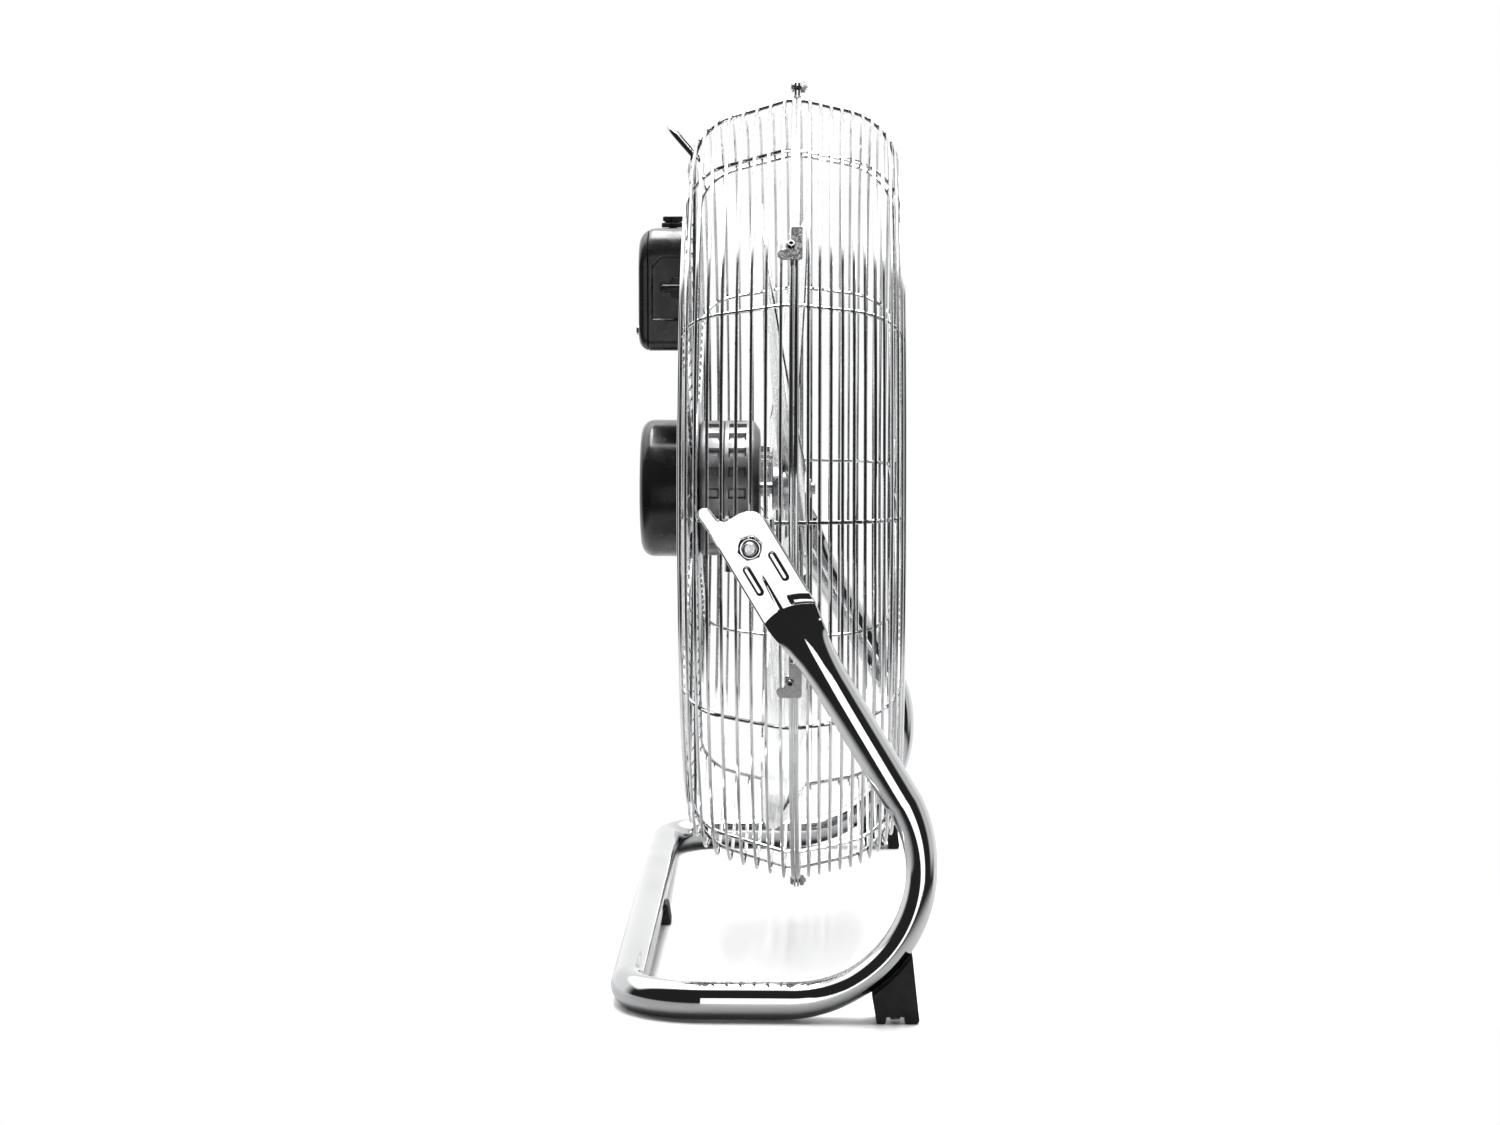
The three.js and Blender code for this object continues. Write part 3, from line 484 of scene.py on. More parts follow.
# a place on the rim: the angle from the top gives outwards, and up along the rim is a quarter turn from it
def rimAxes(degrees):
    a, s = math.radians(degrees), math.copysign(1, degrees)
    outwards = np.array([0, math.sin(a), math.cos(a)])
    up = s * np.array([0, -math.cos(a), math.sin(a)])
    return outwards, up


# carries a body drawn as x, up the rim, height outwards
def onRim(shape, degrees):
    outwards, up = rimAxes(degrees)
    points, faceSets = shape
    turned = points[:, :1] * np.array([1.0, 0, 0]) + points[:, 1:2] * up + points[:, 2:3] * outwards
    return body(turned, faceSets)


for name, degrees in latchPlaces.items():
    words = "".join(w.capitalize() for w in name.split("_"))
    outline = rounded([(-10, -3.7), (4.9, -3.7), (4.9, 20.4), (-2.2, 20.4), (-2.2, 10.4), (-5.0, 8.8),
                       (-5.0, 3.7), (-10, 3.7)], [3.65, 2.0, 1.2, 1.2, 1.0, 1.6, 0.9, 3.65], 8)
    lip = rounded([(3.6, 11.5), (4.9, 11.5), (4.9, 20.4), (3.6, 20.4)], [0.3, 0.3, 0.6, 0.6])
    shapes = [onRim(slab(outline, latch["plateLow"], latch["plateHigh"]), degrees),
              onRim(slab(lip, latch["rim"] + 0.35, latch["plateHigh"] - 0.2), degrees)]
    makePiece("latch" + words, shapes, "latch_" + name, "dullZinc", ["latch_" + name],
              bevel=0.32)

    # semi-tubular rivet: a low dome round a hole; a matt black plug set low in the hole is painted shade for
    # the hole's dark inside
    rim, outwards, up = latch["rim"], *rimAxes(degrees)
    at = np.array([latch["rivetX"], 0, 0]) + up * latch["rivetUp"]
    dome = rounded([(rim + 3.65, 1.4), (rim + 3.65, 2.5), (rim + 4.8, 2.1), (rim + 4.8, 1.4)],
                   [0.1, 0.3, 0.5, 0.15], 5)
    rivet = [placed(spun(dome, 32, closed=True), outwards, up, at),
             placed(spun(np.array([[rim + 1.65, 1.5], [rim + 3.8, 1.5]]), 24), outwards, up, at)]
    makePiece("latchRivet" + words, rivet, "head", "zincPlate", ["latch_rivet_" + name])
    # painted shade: a matt black plug at the bottom of the rivet's hole stands in for the shade inside it
    holeShade = rounded([(rim + 3.0, 0.2), (rim + 3.0, 1.38), (rim + 4.3, 1.38), (rim + 4.0, 0.2)],
                  [0, 0.1, 0.25, 0], 5, True)
    makePiece("latchPin" + words, [placed(spun(holeShade, 24), outwards, up, at)], "head", "mattBlack")

    # the small ear that is welded to the rear rim under the latch
    ear = rounded([(-4.9, 3.4), (-0.5, 3.4), (-0.5, 10.3), (-4.9, 10.3)], [1.6, 0.4, 0.4, 1.6])
    makePiece("latchEar" + words, [onRim(slab(ear, rim - 0.4, rim + 1.3), degrees)], "head",
              "wireChrome", bevel=0.25)
print("latches ready")


# Carry handle

handle = {"foot": (-64.2, 0.0, 213.4), "lean": (-0.66, 0.0, 0.751), "half": 42.0, "reach": 26.0, "bend": 9.0,
          "wire": 1.8}


# wire loop: an open outline with two rounded corners, carried up a leaning plane
def wireLoop():
    lean = np.array(handle["lean"]) / np.linalg.norm(handle["lean"])
    h, reach = handle["half"], handle["reach"]
    legs = np.linspace(0, 1, 14)[:, None]
    outline = rounded([(-h, -1.2), (-h, reach), (h, reach), (h, -1.2)], [0, handle["bend"], handle["bend"], 0],
                      22, True)
    first = outline[0] + (outline[1] - outline[0]) * legs[:-1]
    last = outline[-2] + (outline[-1] - outline[-2]) * legs[1:]
    path = np.concatenate([first, outline[1:-1], last])
    centres = np.array(handle["foot"]) + path[:, 1:2] * lean + path[:, :1] * np.array([0, 1.0, 0])
    flat = np.cross(lean, [0, 1.0, 0])
    sideways = np.cross(directions(centres), flat)
    return carried(centres, sideways, flat, handle["wire"], handle["wire"], 20)


makePiece("carryHandle", [wireLoop()], "head", "mirrorChrome", ["carry_handle"])
print("handle ready")


# Stand

stand = {"tube": 11.0, "sideY": 276.0, "bend": 78.0, "bendX": -3.0, "bendZ": -199.0, "lean": 31.0,
         "crossbarX": -97.7, "corner": 45.0, "pivotX": -24.7, "pivotZ": -11.9, "plateHalf": 16.3,
         "plateThick": 1.8, "groove": 0.85, "sides": 200}


def smooth(value, low, high):
    t = np.clip((value - low) / (high - low), 0, 1)
    return t * t * (3 - 2 * t)


# smooth curve through given points: cubic pieces whose slopes are the harmonic means of their neighbours'
def eased(value, at, through, firstSlope=0.0):
    at, through = np.asarray(at, float), np.asarray(through, float)
    step = np.diff(at)
    rise = np.diff(through) / step
    both = rise[1:] * rise[:-1]
    slope = np.zeros(len(at))
    slope[1:-1] = np.where(both > 0, 2 * both / (rise[1:] + rise[:-1] + 1e-12 * (both <= 0)), 0)
    slope[0] = firstSlope
    k = np.clip(np.searchsorted(at, value) - 1, 0, len(step) - 1)
    t = np.clip((value - at[k]) / step[k], 0, 1)
    start, end = slope[k] * step[k], slope[k + 1] * step[k]
    return (through[k] * (1 + 2 * t) * (1 - t) ** 2 + start * t * (1 - t) ** 2
            + through[k + 1] * t * t * (3 - 2 * t) - end * t * t * (1 - t))


# One side of the stand from the pressed end to the middle of the crossbar. Each section is an ellipse that
# turns into a thin rounded rectangle towards the pressed end; d is the distance down the arm from the pivot.
def standHalf():
    lean = math.radians(stand["lean"])
    down = np.array([math.sin(lean), 0, -math.cos(lean)])
    forward = np.array([math.cos(lean), 0, math.sin(lean)])
    outward = np.array([0, -1.0, 0])
    railZ = stand["bendZ"] - stand["bend"]
    reach = math.hypot(stand["bendX"] + stand["bend"] * math.cos(lean) - stand["pivotX"],
                       stand["bendZ"] + stand["bend"] * math.sin(lean) - stand["pivotZ"])

    # arm: the flat end's width follows its outline, a rounded corner in front and a stop finger behind
    top = np.concatenate([-33.6 + 3.9 * (1 - np.cos(np.linspace(0.02, np.pi / 2, 14))),
                          np.linspace(-29.5, -20.2, 14), [-20.001]])
    flat = np.concatenate([[-20.0], -20 + 12 * (1 - np.cos(np.linspace(0.03, np.pi / 2, 26))),
                           np.linspace(-7.6, 39.6, 130)])
    press = np.linspace(39.9, 128, 190)
    rest = np.linspace(130, reach, 24)
    d = np.concatenate([top, flat, press, rest])
    rearEdge = np.full(len(d), -stand["plateHalf"])
    frontEdge = np.full(len(d), stand["plateHalf"])
    nib = d <= -20.001
    rise = np.clip((-29.7 - d) / 3.9, 0, 1)
    inset = 3.9 * (1 - np.sqrt(1 - rise ** 2))
    fillet = np.clip((d + 24) / 4, 0, 1)
    fillet = 4 * (1 - np.sqrt(1 - fillet ** 2))
    frontEdge = np.where(nib, -7.4 - 0.12 * (-20 - d) - inset + fillet, frontEdge)
    rearEdge = np.where(nib, rearEdge - 0.05 * (-20 - d) + inset, rearEdge)
    corner = np.clip((-8 - d) / 12, 0, 1)
    frontEdge = np.where(~nib, frontEdge - 12 * (1 - np.sqrt(1 - corner ** 2)), frontEdge)
    middle = (rearEdge + frontEdge) / 2
    half = (frontEdge - rearEdge) / 2

    t = np.linspace(0, 2 * np.pi, stand["sides"], endpoint=False)[None, :]
    dist = d[:, None]
    # rounded rectangle: equal steps round its edge; depth goes outwards, width forward
    thick, edge = stand["plateThick"], 1.15
    lap = (t / (2 * np.pi)) * 4 * (half[:, None] + thick)
    flatSide = np.where(half[:, None] > 0, half[:, None], 1)
    width = np.select(
        [lap < flatSide, lap < flatSide + 2 * thick, lap < 3 * flatSide + 2 * thick,
         lap < 3 * flatSide + 4 * thick],
        [lap, flatSide + 0 * lap, 2 * flatSide + 2 * thick - lap, -flatSide + 0 * lap],
        lap - 4 * flatSide - 4 * thick)
    depth = np.select(
        [lap < flatSide, lap < flatSide + 2 * thick, lap < 3 * flatSide + 2 * thick,
         lap < 3 * flatSide + 4 * thick],
        [thick + 0 * lap, flatSide + thick - lap, -thick + 0 * lap, lap - 3 * flatSide - 3 * thick],
        thick + 0 * lap)
    # the narrow edges are half round
    bulge = edge * (1 - np.sqrt(np.clip(1 - (depth / thick) ** 2, 0, 1)))
    atSide = np.clip((np.abs(width) - (flatSide - edge)) / edge, 0, 1)
    width = np.sign(width) * (np.abs(width) - bulge * atSide ** 3)
    # pressed into a tube: the crease arches towards the pivot in its middle, and the tube's face rises from it
    crease = dist + 4.9 - 0.018 * (width + 4) ** 2
    below = crease > 45
    k = smooth(crease, 45, 70)
    swell = eased(crease, [45, 54, 64, 76, 90, 106, 124], [1.8, 5.5, 7.7, 9.2, 10.3, 10.85, 11], 0.4)
    a = np.where(below, swell, thick)
    shift = np.where(below, eased(crease, [45, 54, 66, 80, 100], [2, 1.5, 0.9, 0.4, 0]), 2.0)
    b = eased(dist, [45, 54, 66, 78, 92], [16.3, 15.0, 12.9, 11.5, 11])
    ovalDepth = a * np.cos(t)
    ovalWidth = b * np.sin(t)
    depth = (1 - k) * depth * a / thick + k * ovalDepth
    width = (1 - k) * width * np.minimum(1, b / 16.3) + k * ovalWidth
    flatZone = (depth > 0) & (crease < 45)
    # two pressed grooves on the outer face, each by the distance to a short line
    for place in (-8.5, 8.5):
        gap = np.hypot(width - place, np.clip(np.abs(dist - 17.5) - 7.4, 0, None))
        depth = np.where(flatZone, depth - stand["groove"] * (1 - smooth(gap, 0.8, 2.3)), depth)
    # a tapering press line between them, and a fold beside the crease
    wide = 0.3 + 0.045 * np.clip(dist - 17, 0, None)
    line = np.exp(-((width + 2.5 + 0.065 * (dist - 17)) / wide) ** 2)
    line = line * smooth(dist, 16, 21) * (1 - smooth(dist, 39, 41))
    fold = smooth(width, 3.2, 6.0) * smooth(crease, 37, 43) * (1 - smooth(crease, 43.5, 45))
    depth = np.where(flatZone, depth - 0.42 * line + fold, depth)
    arm = (np.array([stand["pivotX"], -stand["sideY"], stand["pivotZ"]]) + dist[..., None] * down
           + (depth - shift)[..., None] * outward
           + (width + middle[:, None] * (dist < 34))[..., None] * forward)

    # big bend down to the floor, a little flattened by the bending
    bendAngle = np.linspace(lean, -np.pi / 2, 72)[1:-1][:, None]
    turned = (lean - bendAngle) / (lean + np.pi / 2)
    oval = np.minimum(1, 4 * np.minimum(turned, 1 - turned))
    spoke = np.stack([np.cos(bendAngle), 0 * bendAngle, np.sin(bendAngle)], -1)
    centre = np.array([stand["bendX"], -stand["sideY"], stand["bendZ"]]) + stand["bend"] * spoke
    bend = (centre + ((stand["tube"] + 0.6 * oval) * np.cos(t))[..., None] * outward
            + ((stand["tube"] - 1.8 * oval) * np.sin(t))[..., None] * spoke)

    # rail along the floor, then the plan corner into the crossbar
    cx, cy = stand["crossbarX"] + stand["corner"], stand["sideY"] - stand["corner"]
    alongRail = np.linspace(stand["bendX"], cx, 12)[:-1]
    planAngle = np.linspace(0, np.pi / 2, 36)
    x = np.concatenate([alongRail, cx - stand["corner"] * np.sin(planAngle)])
    y = np.concatenate([np.full(11, -stand["sideY"]), -cy - stand["corner"] * np.cos(planAngle)])
    face = np.concatenate([np.zeros(11), planAngle])
    outwards = np.stack([-np.sin(face), -np.cos(face), 0 * face], -1)[:, None, :]
    floorPath = np.stack([x, y, np.full(len(x), railZ)], -1)[:, None, :]
    floorPart = (floorPath + (stand["tube"] * np.cos(t))[..., None] * outwards
                 + (stand["tube"] * np.sin(t))[..., None] * np.array([0, 0, -1.0]))
    return np.concatenate([arm, bend, floorPart])


half = standHalf()
other = half[::-1] * np.array([1, -1, 1])
makePiece("standTube", [skinned(np.concatenate([half, other]))], "stand", "mirrorChrome",
          ["stand_tube"], crease=30)

feet = {"width": 22.0, "floor": -288.0, "gap": 0.3}


# Side outline of the wedge foot: its top follows the underside of the bend, its sole has a notch.
def footOutline(notch):
    r = stand["bend"] + stand["tube"] - 1.8 + feet["gap"]
    a = np.linspace(-0.6, -0.975, 24)
    curve = np.column_stack([stand["bendX"] + r * np.cos(a), stand["bendZ"] + r * np.sin(a)])
    floorZ = feet["floor"]
    base = rounded([curve[-1], (49.0, floorZ), (54.0, floorZ), (54.6, floorZ + notch), (65.0, floorZ + notch),
                    (65.6, floorZ), (74.0, floorZ), curve[0]], [0.1, 1.1, 0.8, 0.6, 0.6, 0.8, 2.2, 0.1], 5)
    return np.concatenate([base[5:-5], curve[:1] + [0.5, -0.9], curve])


# the outer lip has a low notch; the rest of the foot is hollowed out higher
def wedgeFoot(side):
    half, lip = feet["width"] / 2, 3.0
    solidPart = slab(footOutline(9.0), -half, half - lip)
    outerLip = slab(footOutline(3.9), half - lip, half)
    return [placed(part, (1, 0, 0), (0, 0, 1), (0, side * stand["sideY"], 0)) if side < 0 else
            body(placed(part, (1, 0, 0), (0, 0, 1))[0] * [1, -1, 1] + [0, side * stand["sideY"], 0], part[1])
            for part in (solidPart, outerLip)]


for name, side in (("left", 1), ("right", -1)):
    makePiece("frontFoot" + name.capitalize(), wedgeFoot(side), "stand", "mattBlack",
              ["front_foot_" + name], bevel=0.5, bevelSteps=3)

padLow, padHigh = nodeBox("rear_foot")
r = stand["tube"] + feet["gap"]
a = np.linspace(0.25, -0.93, 16)
saddle = np.column_stack([stand["crossbarX"] + r * np.cos(a), stand["bendZ"] - stand["bend"] + r * np.sin(a)])
heel = rounded([(padLow[0], padLow[2]), (padHigh[0] - 3.0, padLow[2]), (padHigh[0] - 5.0, -275.6),
                saddle[0] + [0.6, 0.2]], [0.6, 1.2, 1.6, 0.3], 5)
pad = slab(np.concatenate([heel, saddle]), -10, 10)
makePiece("rearFoot", [placed(pad, (1, 0, 0), (0, 0, 1))], "stand", "footRubber", ["rear_foot"],
          bevel=0.8, bevelSteps=3)
print("stand ready")


# Pivots

pivot = {"x": stand["pivotX"], "z": stand["pivotZ"], "flats": 13.0, "thread": 4.0}
for name, side in (("left", 1), ("right", -1)):
    words = name.capitalize()
    at = (pivot["x"], 0, pivot["z"])
    out, upward = (0, side, 0), (0, 0, 1)
    turned = (0.208, 0, 0.978)

    # bridge bracket: a bent strip, its path in plan, given its height along Z
    outer = [(-39.8, 243.8), (-39.8, 264.2), (-11.0, 264.2), (-11.0, 250.9)]
    inner = [(-13.2, 250.9), (-13.2, 262.0), (-37.6, 262.0), (-37.6, 243.8)]
    strip = rounded(outer + inner, [0.3, 3.4, 3.4, 0.3, 0.3, 1.2, 1.2, 0.3], 6)
    strip = slab(strip * [1, side], pivot["z"] - 15.5, pivot["z"] + 15.5)
    makePiece("pivotBracket" + words, [strip], "head", "zincPlate", ["pivot_bracket_" + name],
              bevel=0.4)
    bolt = [placed(threaded(pivot["thread"], 262.0, 284.5, 1.25), out, upward, at),
            placed(hexBody(12.6, 256.2, 261.9, 0.6), out, upward, at)]
    makePiece("pivotBolt" + words, bolt, "head", "zincPlate", ["pivot_bolt_" + name])

    # friction spacer with twenty shallow flutes round it
    flute = lambda along, radius, turn: np.where(radius > 9, radius - 0.35 * (np.cos(20 * turn) > 0.2), radius
                                                 + 0 * turn)
    ring = rounded([(264.5, 4.4), (264.5, 9.5), (271.9, 9.5), (271.9, 4.4)], [0.3, 0.7, 0.7, 0.3], 4)
    makePiece("pivotSpacer" + words, [placed(spun(ring, 160, flute, True), out, upward, at)], "head",
              "mattBlack", ["pivot_spacer_" + name])
    ring = rounded([(276.1, 4.35), (276.1, 6.9), (277.6, 6.9), (277.6, 4.35)], [0.2, 0.4, 0.4, 0.2], 4)
    makePiece("pivotWasher" + words, [placed(spun(ring, 64, closed=True), out, upward, at)], "head",
              "zincPlate", ["pivot_washer_" + name])
    nut = placed(hexBody(pivot["flats"], 277.9, 283.0, 4.2, 1.05), out, turned, at)
    makePiece("pivotNut" + words, [nut], "head", "mirrorChrome", ["pivot_nut_" + name])
print("pivots ready")


# Motor

motor = {"radius": 44.0, "slots": 20, "slotDepth": 2.4}


# cooling slots: the wall is set in where a cosine round the bell and a window along it are both high
def slotted(low, high):
    def shape(along, radius, turn):
        window = smooth(along, low, low + 0.8) * (1 - smooth(along, high - 0.8, high))
        wave = smooth(np.cos(motor["slots"] * turn), 0.0, 0.35)
        return radius - motor["slotDepth"] * window * wave * (radius > motor["radius"] - 0.5)
    return shape


rearBell = rounded([(-62.9, 5), (-62.9, 44), (-47, 44), (-47, 41), (-59.9, 41), (-59.9, 5)],
                   [0.4, 3.0, 0.6, 0.3, 1.5, 0.3], 6)
fine = np.linspace(-59.5, -48, 28)
wall = np.column_stack([fine, np.full(28, 44.0)])
rearBell = np.concatenate([rearBell[:12], wall, rearBell[12:]])
makePiece("motorRearBell", [spun(rearBell, 240, slotted(-58.5, -49.5), True)], "head",
          "castAluminium", ["motor_rear_bell"])
frontBell = rounded([(-24, 6), (-24, 38), (-28, 44), (-46.7, 44), (-46.7, 41), (-27.5, 39), (-27.5, 6)],
                    [0.4, 3.0, 3.0, 0.6, 0.3, 1.5, 0.3], 6)
fine = np.linspace(-31, -45.5, 34)
wall = np.column_stack([fine, np.full(34, 44.0)])
frontBell = np.concatenate([frontBell[:18], wall, frontBell[18:]])
makePiece("motorFrontBell", [spun(frontBell, 240, slotted(-43.8, -32.5), True)], "head",
          "castAluminium", ["motor_front_bell"])

# mount plate: a pressed disc with a raised ring half way out and a rolled edge
plate = rounded([(-65.2, 12), (-65.2, 26), (-64.6, 34), (-65.2, 42), (-65.2, 57), (-63.2, 57), (-63.2, 42),
                 (-62.9, 34), (-63.2, 26), (-63.2, 12)], [0.3, 2, 2, 2, 0.9, 0.9, 2, 2, 2, 0.3], 5)
makePiece("motorMountPlate", [spun(plate, 96, closed=True)], "head", "zincPlate",
          ["motor_mount_plate"])

cover = {"rear": -101.0, "front": -65.6, "radius": 45.0, "corner": 8.5, "wall": 2.2}
# cover: a cup with a rounded rear corner and a shallow step near its mouth
outside = rounded([(cover["rear"], 0.5), (cover["rear"], cover["radius"] - 0.4), (-73.2, cover["radius"] - 0.4),
                   (-72.4, cover["radius"]), (cover["front"], cover["radius"]),
                   (cover["front"], cover["radius"] - 2.2), (cover["rear"] + 8, cover["radius"] - 2.6),
                   (cover["rear"] + cover["wall"], 34), (cover["rear"] + cover["wall"], 0.5)],
                  [0, cover["corner"], 0.5, 0.5, 0.5, 0.5, 4, 3, 0], 10, True)
makePiece("motorRearCover", [spun(outside, 128)], "head", "glossBlack", ["motor_rear_cover"])
makePiece("motorShaft", [spun(rounded([(-60.2, 0.5), (-60.2, 3.98), (12, 3.98), (12, 0.5)], [0, 0.5, 0.6, 0], 4,
                                      True), 48)], "rotor", "zincPlate", ["motor_shaft"])
print("motor ready")


# Blades

blades = {"count": 3, "tip": 222.0, "root": 34.0, "depth": 15.0, "thick": 1.1, "first": 60.0}


# Blade sheet: radius runs outwards and u from the leading to the trailing edge. The half width swells towards
# the tip, x falls with u as the pitch, and (1 - u squared) gives the hollow; the corners are rounded off.
def bladeSheet(turn):
    out = np.linspace(0, 1, 64)[:, None]
    u = np.sin(np.linspace(-np.pi / 2, np.pi / 2, 40))[None, :]
    radius = blades["root"] + (blades["tip"] - blades["root"]) * out
    half = np.radians(22 + 16 * np.sin(out * np.pi * 0.62))
    trim = np.interp(out, [0, 0.8, 1], [1, 1, 0.8])
    near = np.clip((out - 0.86) / 0.14, 0, 1)
    rounding = np.sqrt(1 - 0.42 * near ** 4)
    angle = turn + u * half * trim * rounding
    depth = blades["depth"] * (0.35 + 0.65 * np.sin(out * np.pi / 2))
    x = -7 - u * depth * 0.93 - 2.5 * (1 - u * u)
    # a pressed stiffening ridge down the middle of the blade
    ridge = 0.9 * np.exp(-((u / 0.13) ** 2)) * smooth(out, 0.12, 0.24) * (1 - smooth(out, 0.78, 0.92))
    x = x + ridge
    thick = blades["thick"] / 2
    front = np.stack([x + thick, radius * np.sin(angle), radius * np.cos(angle)], -1)
    rear = np.stack([x - thick, radius * np.sin(angle), radius * np.cos(angle)], -1)
    return skinned(np.concatenate([front, rear[:, ::-1]], 1))


shapes = [bladeSheet(math.radians(blades["first"] + k * 360 / blades["count"])) for k in range(3)]
disc = rounded([(-10.4, 14.6), (-10.4, 30), (-9.6, 34), (-10.4, 38), (-10.4, 46), (-8.8, 46), (-8.8, 38),
                (-8.0, 34), (-8.8, 30), (-8.8, 14.6)], [0.2, 2, 2, 2, 0.7, 0.7, 2, 2, 2, 0.2], 5)
shapes.append(spun(disc, 96, closed=True))
makePiece("fanBlades", shapes, "rotor", "bladeAluminium", ["fan_blades"])

hub = rounded([(-16, 4.3), (-16, 14.2), (-3.2, 14.2), (-3.2, 12.6), (1.4, 12.6), (1.4, 14.2), (4, 14.2),
               (4, 4.3)],
              [0.3, 0.8, 0.3, 0.3, 0.3, 0.3, 0.8, 0.3], 4)
makePiece("bladeHub", [spun(hub, 72, closed=True)], "rotor", "zincPlate", ["blade_hub"])
makePiece("shaftNut", [hexBody(12.1, 4.4, 9.4, 4.2)], "rotor", "zincPlate", ["shaft_nut"])

# centre disc: a flat dish with two spun grooves and a rolled rim
badge = rounded([(66.3, 0.5), (66.3, 41), (67.6, 42.5), (68.8, 41), (69.0, 38.2), (68.4, 36.8), (69.1, 35.4),
                 (69.6, 27), (69.2, 25.6), (69.75, 24.2), (70, 0.5)],
                [0, 0.5, 0.8, 0.7, 0.6, 0.5, 0.6, 0.6, 0.4, 0.6, 0], 5, True)
makePiece("frontBadge", [spun(badge, 128)], "head", "mirrorChrome", ["front_badge"])
print("blades ready")


# Control box

box = {"rear": -101.0, "front": -71.0, "low": 91.0, "high": 169.0, "half": 42.0, "seam": -95.0,
       "topCorner": 11.0, "lowCorner": 8.0, "shoulder": 17.0, "keel": 8.0, "panelTop": 151.4,
       "panelLow": 110.6, "panelDepth": 1.5}


# Section across the box at each x: four arcs and four straights. The rear corners pull the top, the bottom and
# the sides in on quarter circles. On the side walls a panel is set in by the distance inside its outline.
def boxSkin(places, withPanel):
    x = places[:, None]
    gone = lambda radius: np.clip((box["rear"] + radius - x) / radius, 0, 1)
    drop = lambda radius: radius * (1 - np.sqrt(np.clip(1 - gone(radius) ** 2, 0, 1)))
    high = box["high"] - drop(box["topCorner"])
    low = box["low"] + drop(box["lowCorner"])
    half = box["half"] - drop(3.5)
    arc = np.linspace(0, np.pi / 2, 18)[None, :]
    wall = np.linspace(0, 1, 120)[None, :]
    wall = wall + 0 * x
    level = np.linspace(0, 1, 40)[None, :] + 0 * x
    shoulder = box["shoulder"] + 0 * x
    keel = box["keel"] + 0 * x
    # from the middle of the bottom, up the right wall, over the top, down the left wall
    y = [level * (half - keel), half - keel + keel * np.sin(arc), half + 0 * wall,
         half - shoulder + shoulder * np.cos(arc), (half - shoulder) * (1 - 2 * level),
         -(half - shoulder) - shoulder * np.sin(arc), -half + 0 * wall, -(half - keel) - keel * np.cos(arc),
         -(half - keel) * (1 - level[:, :-1])]
    z = [low + 0 * level, low + keel - keel * np.cos(arc), low + keel + (high - shoulder - low - keel) * wall,
         high - shoulder + shoulder * np.sin(arc), high + 0 * level, high - shoulder + shoulder * np.cos(arc),
         high - shoulder + (low + keel - high + shoulder) * wall, low + keel - keel * np.sin(arc),
         low + 0 * level[:, :-1]]
    y = np.concatenate(y, 1)
    z = np.concatenate(z, 1)
    if withPanel:
        above, below, behind = box["panelTop"] - z, z - box["panelLow"], x - (box["seam"] + 2.2)
        cut = (above + behind - 6.5) / math.sqrt(2)
        inside = np.minimum(np.minimum(above, below), np.minimum(behind, cut))
        onWall = np.abs(y) > half - 4
        y = y - np.sign(y) * box["panelDepth"] * smooth(inside, 0, 1.5) * onWall
    return np.stack([x + 0 * y, y, z], -1)


# rolled edge at a seam: the last rows shrink towards the middle of the section
def rolled(grid, rows, step):
    middle = grid.mean(1, keepdims=True)
    for row, amount in zip(rows, step):
        reach = np.linalg.norm(grid[row] - middle[row], axis=-1, keepdims=True)
        grid[row] = grid[row] - (grid[row] - middle[row]) / reach * amount
    return grid


housingPlaces = np.concatenate([[-94.85, -94.75, -94.4], np.linspace(-93.9, -71.6, 64), [-71.3, -71.0]])
housing = rolled(boxSkin(housingPlaces, True), [0, 1, -1, -2], [0.7, 0.35, 0.6, 0.15])
makePiece("controlBoxHousing", [skinned(housing)], "head", "satinBlack", ["control_box_housing"])
bowed = box["rear"] + 0.02 + 11 * (1 - np.cos(np.linspace(0, np.arccos(1 - 5.4 / 11), 26)))
lidPlaces = np.concatenate([bowed, [-95.4, -95.2, -95.15]])
lid = rolled(boxSkin(np.sort(lidPlaces), False), [-1, -2], [0.7, 0.3])
# the lid stands a little proud of the housing as a lip, and closes flat at the rear
makePiece("controlBoxLid", [skinned(lid)], "head", "satinBlack", ["control_box_lid"])

for name, y in (("left", 30), ("right", -30)):
    screw = placed(socketScrew(3.2, -103.0, -101.1, 1.4), (1, 0, 0), (0, 1, 0), (0, y, 104))
    makePiece("lidScrew" + name.capitalize(), [screw], "head", "zincPlate", ["lid_screw_" + name])

# cable entry: a block on the recessed wall and a round-nosed sleeve along it
entry = rounded([(-80, 124.5), (-71.2, 124.5), (-71.2, 138), (-80, 138)], [2.6, 0.4, 0.4, 2.6])
block = placed(slab(entry, 40.2, 44.9), (1, 0, 0), (0, 0, 1))
nose = rounded([(-87.15, 0.2), (-87.15, 2.7), (-71.1, 2.7), (-71.1, 0.2)], [0, 2.4, 0.3, 0], 10, True)
sleeve = placed(spun(nose, 40), (1, 0, 0), (0, 1, 0), (0, -44.9, 131.3))
makePiece("cableEntry", [block, sleeve], "head", "glossBlack", ["cable_entry"], bevel=0.5)

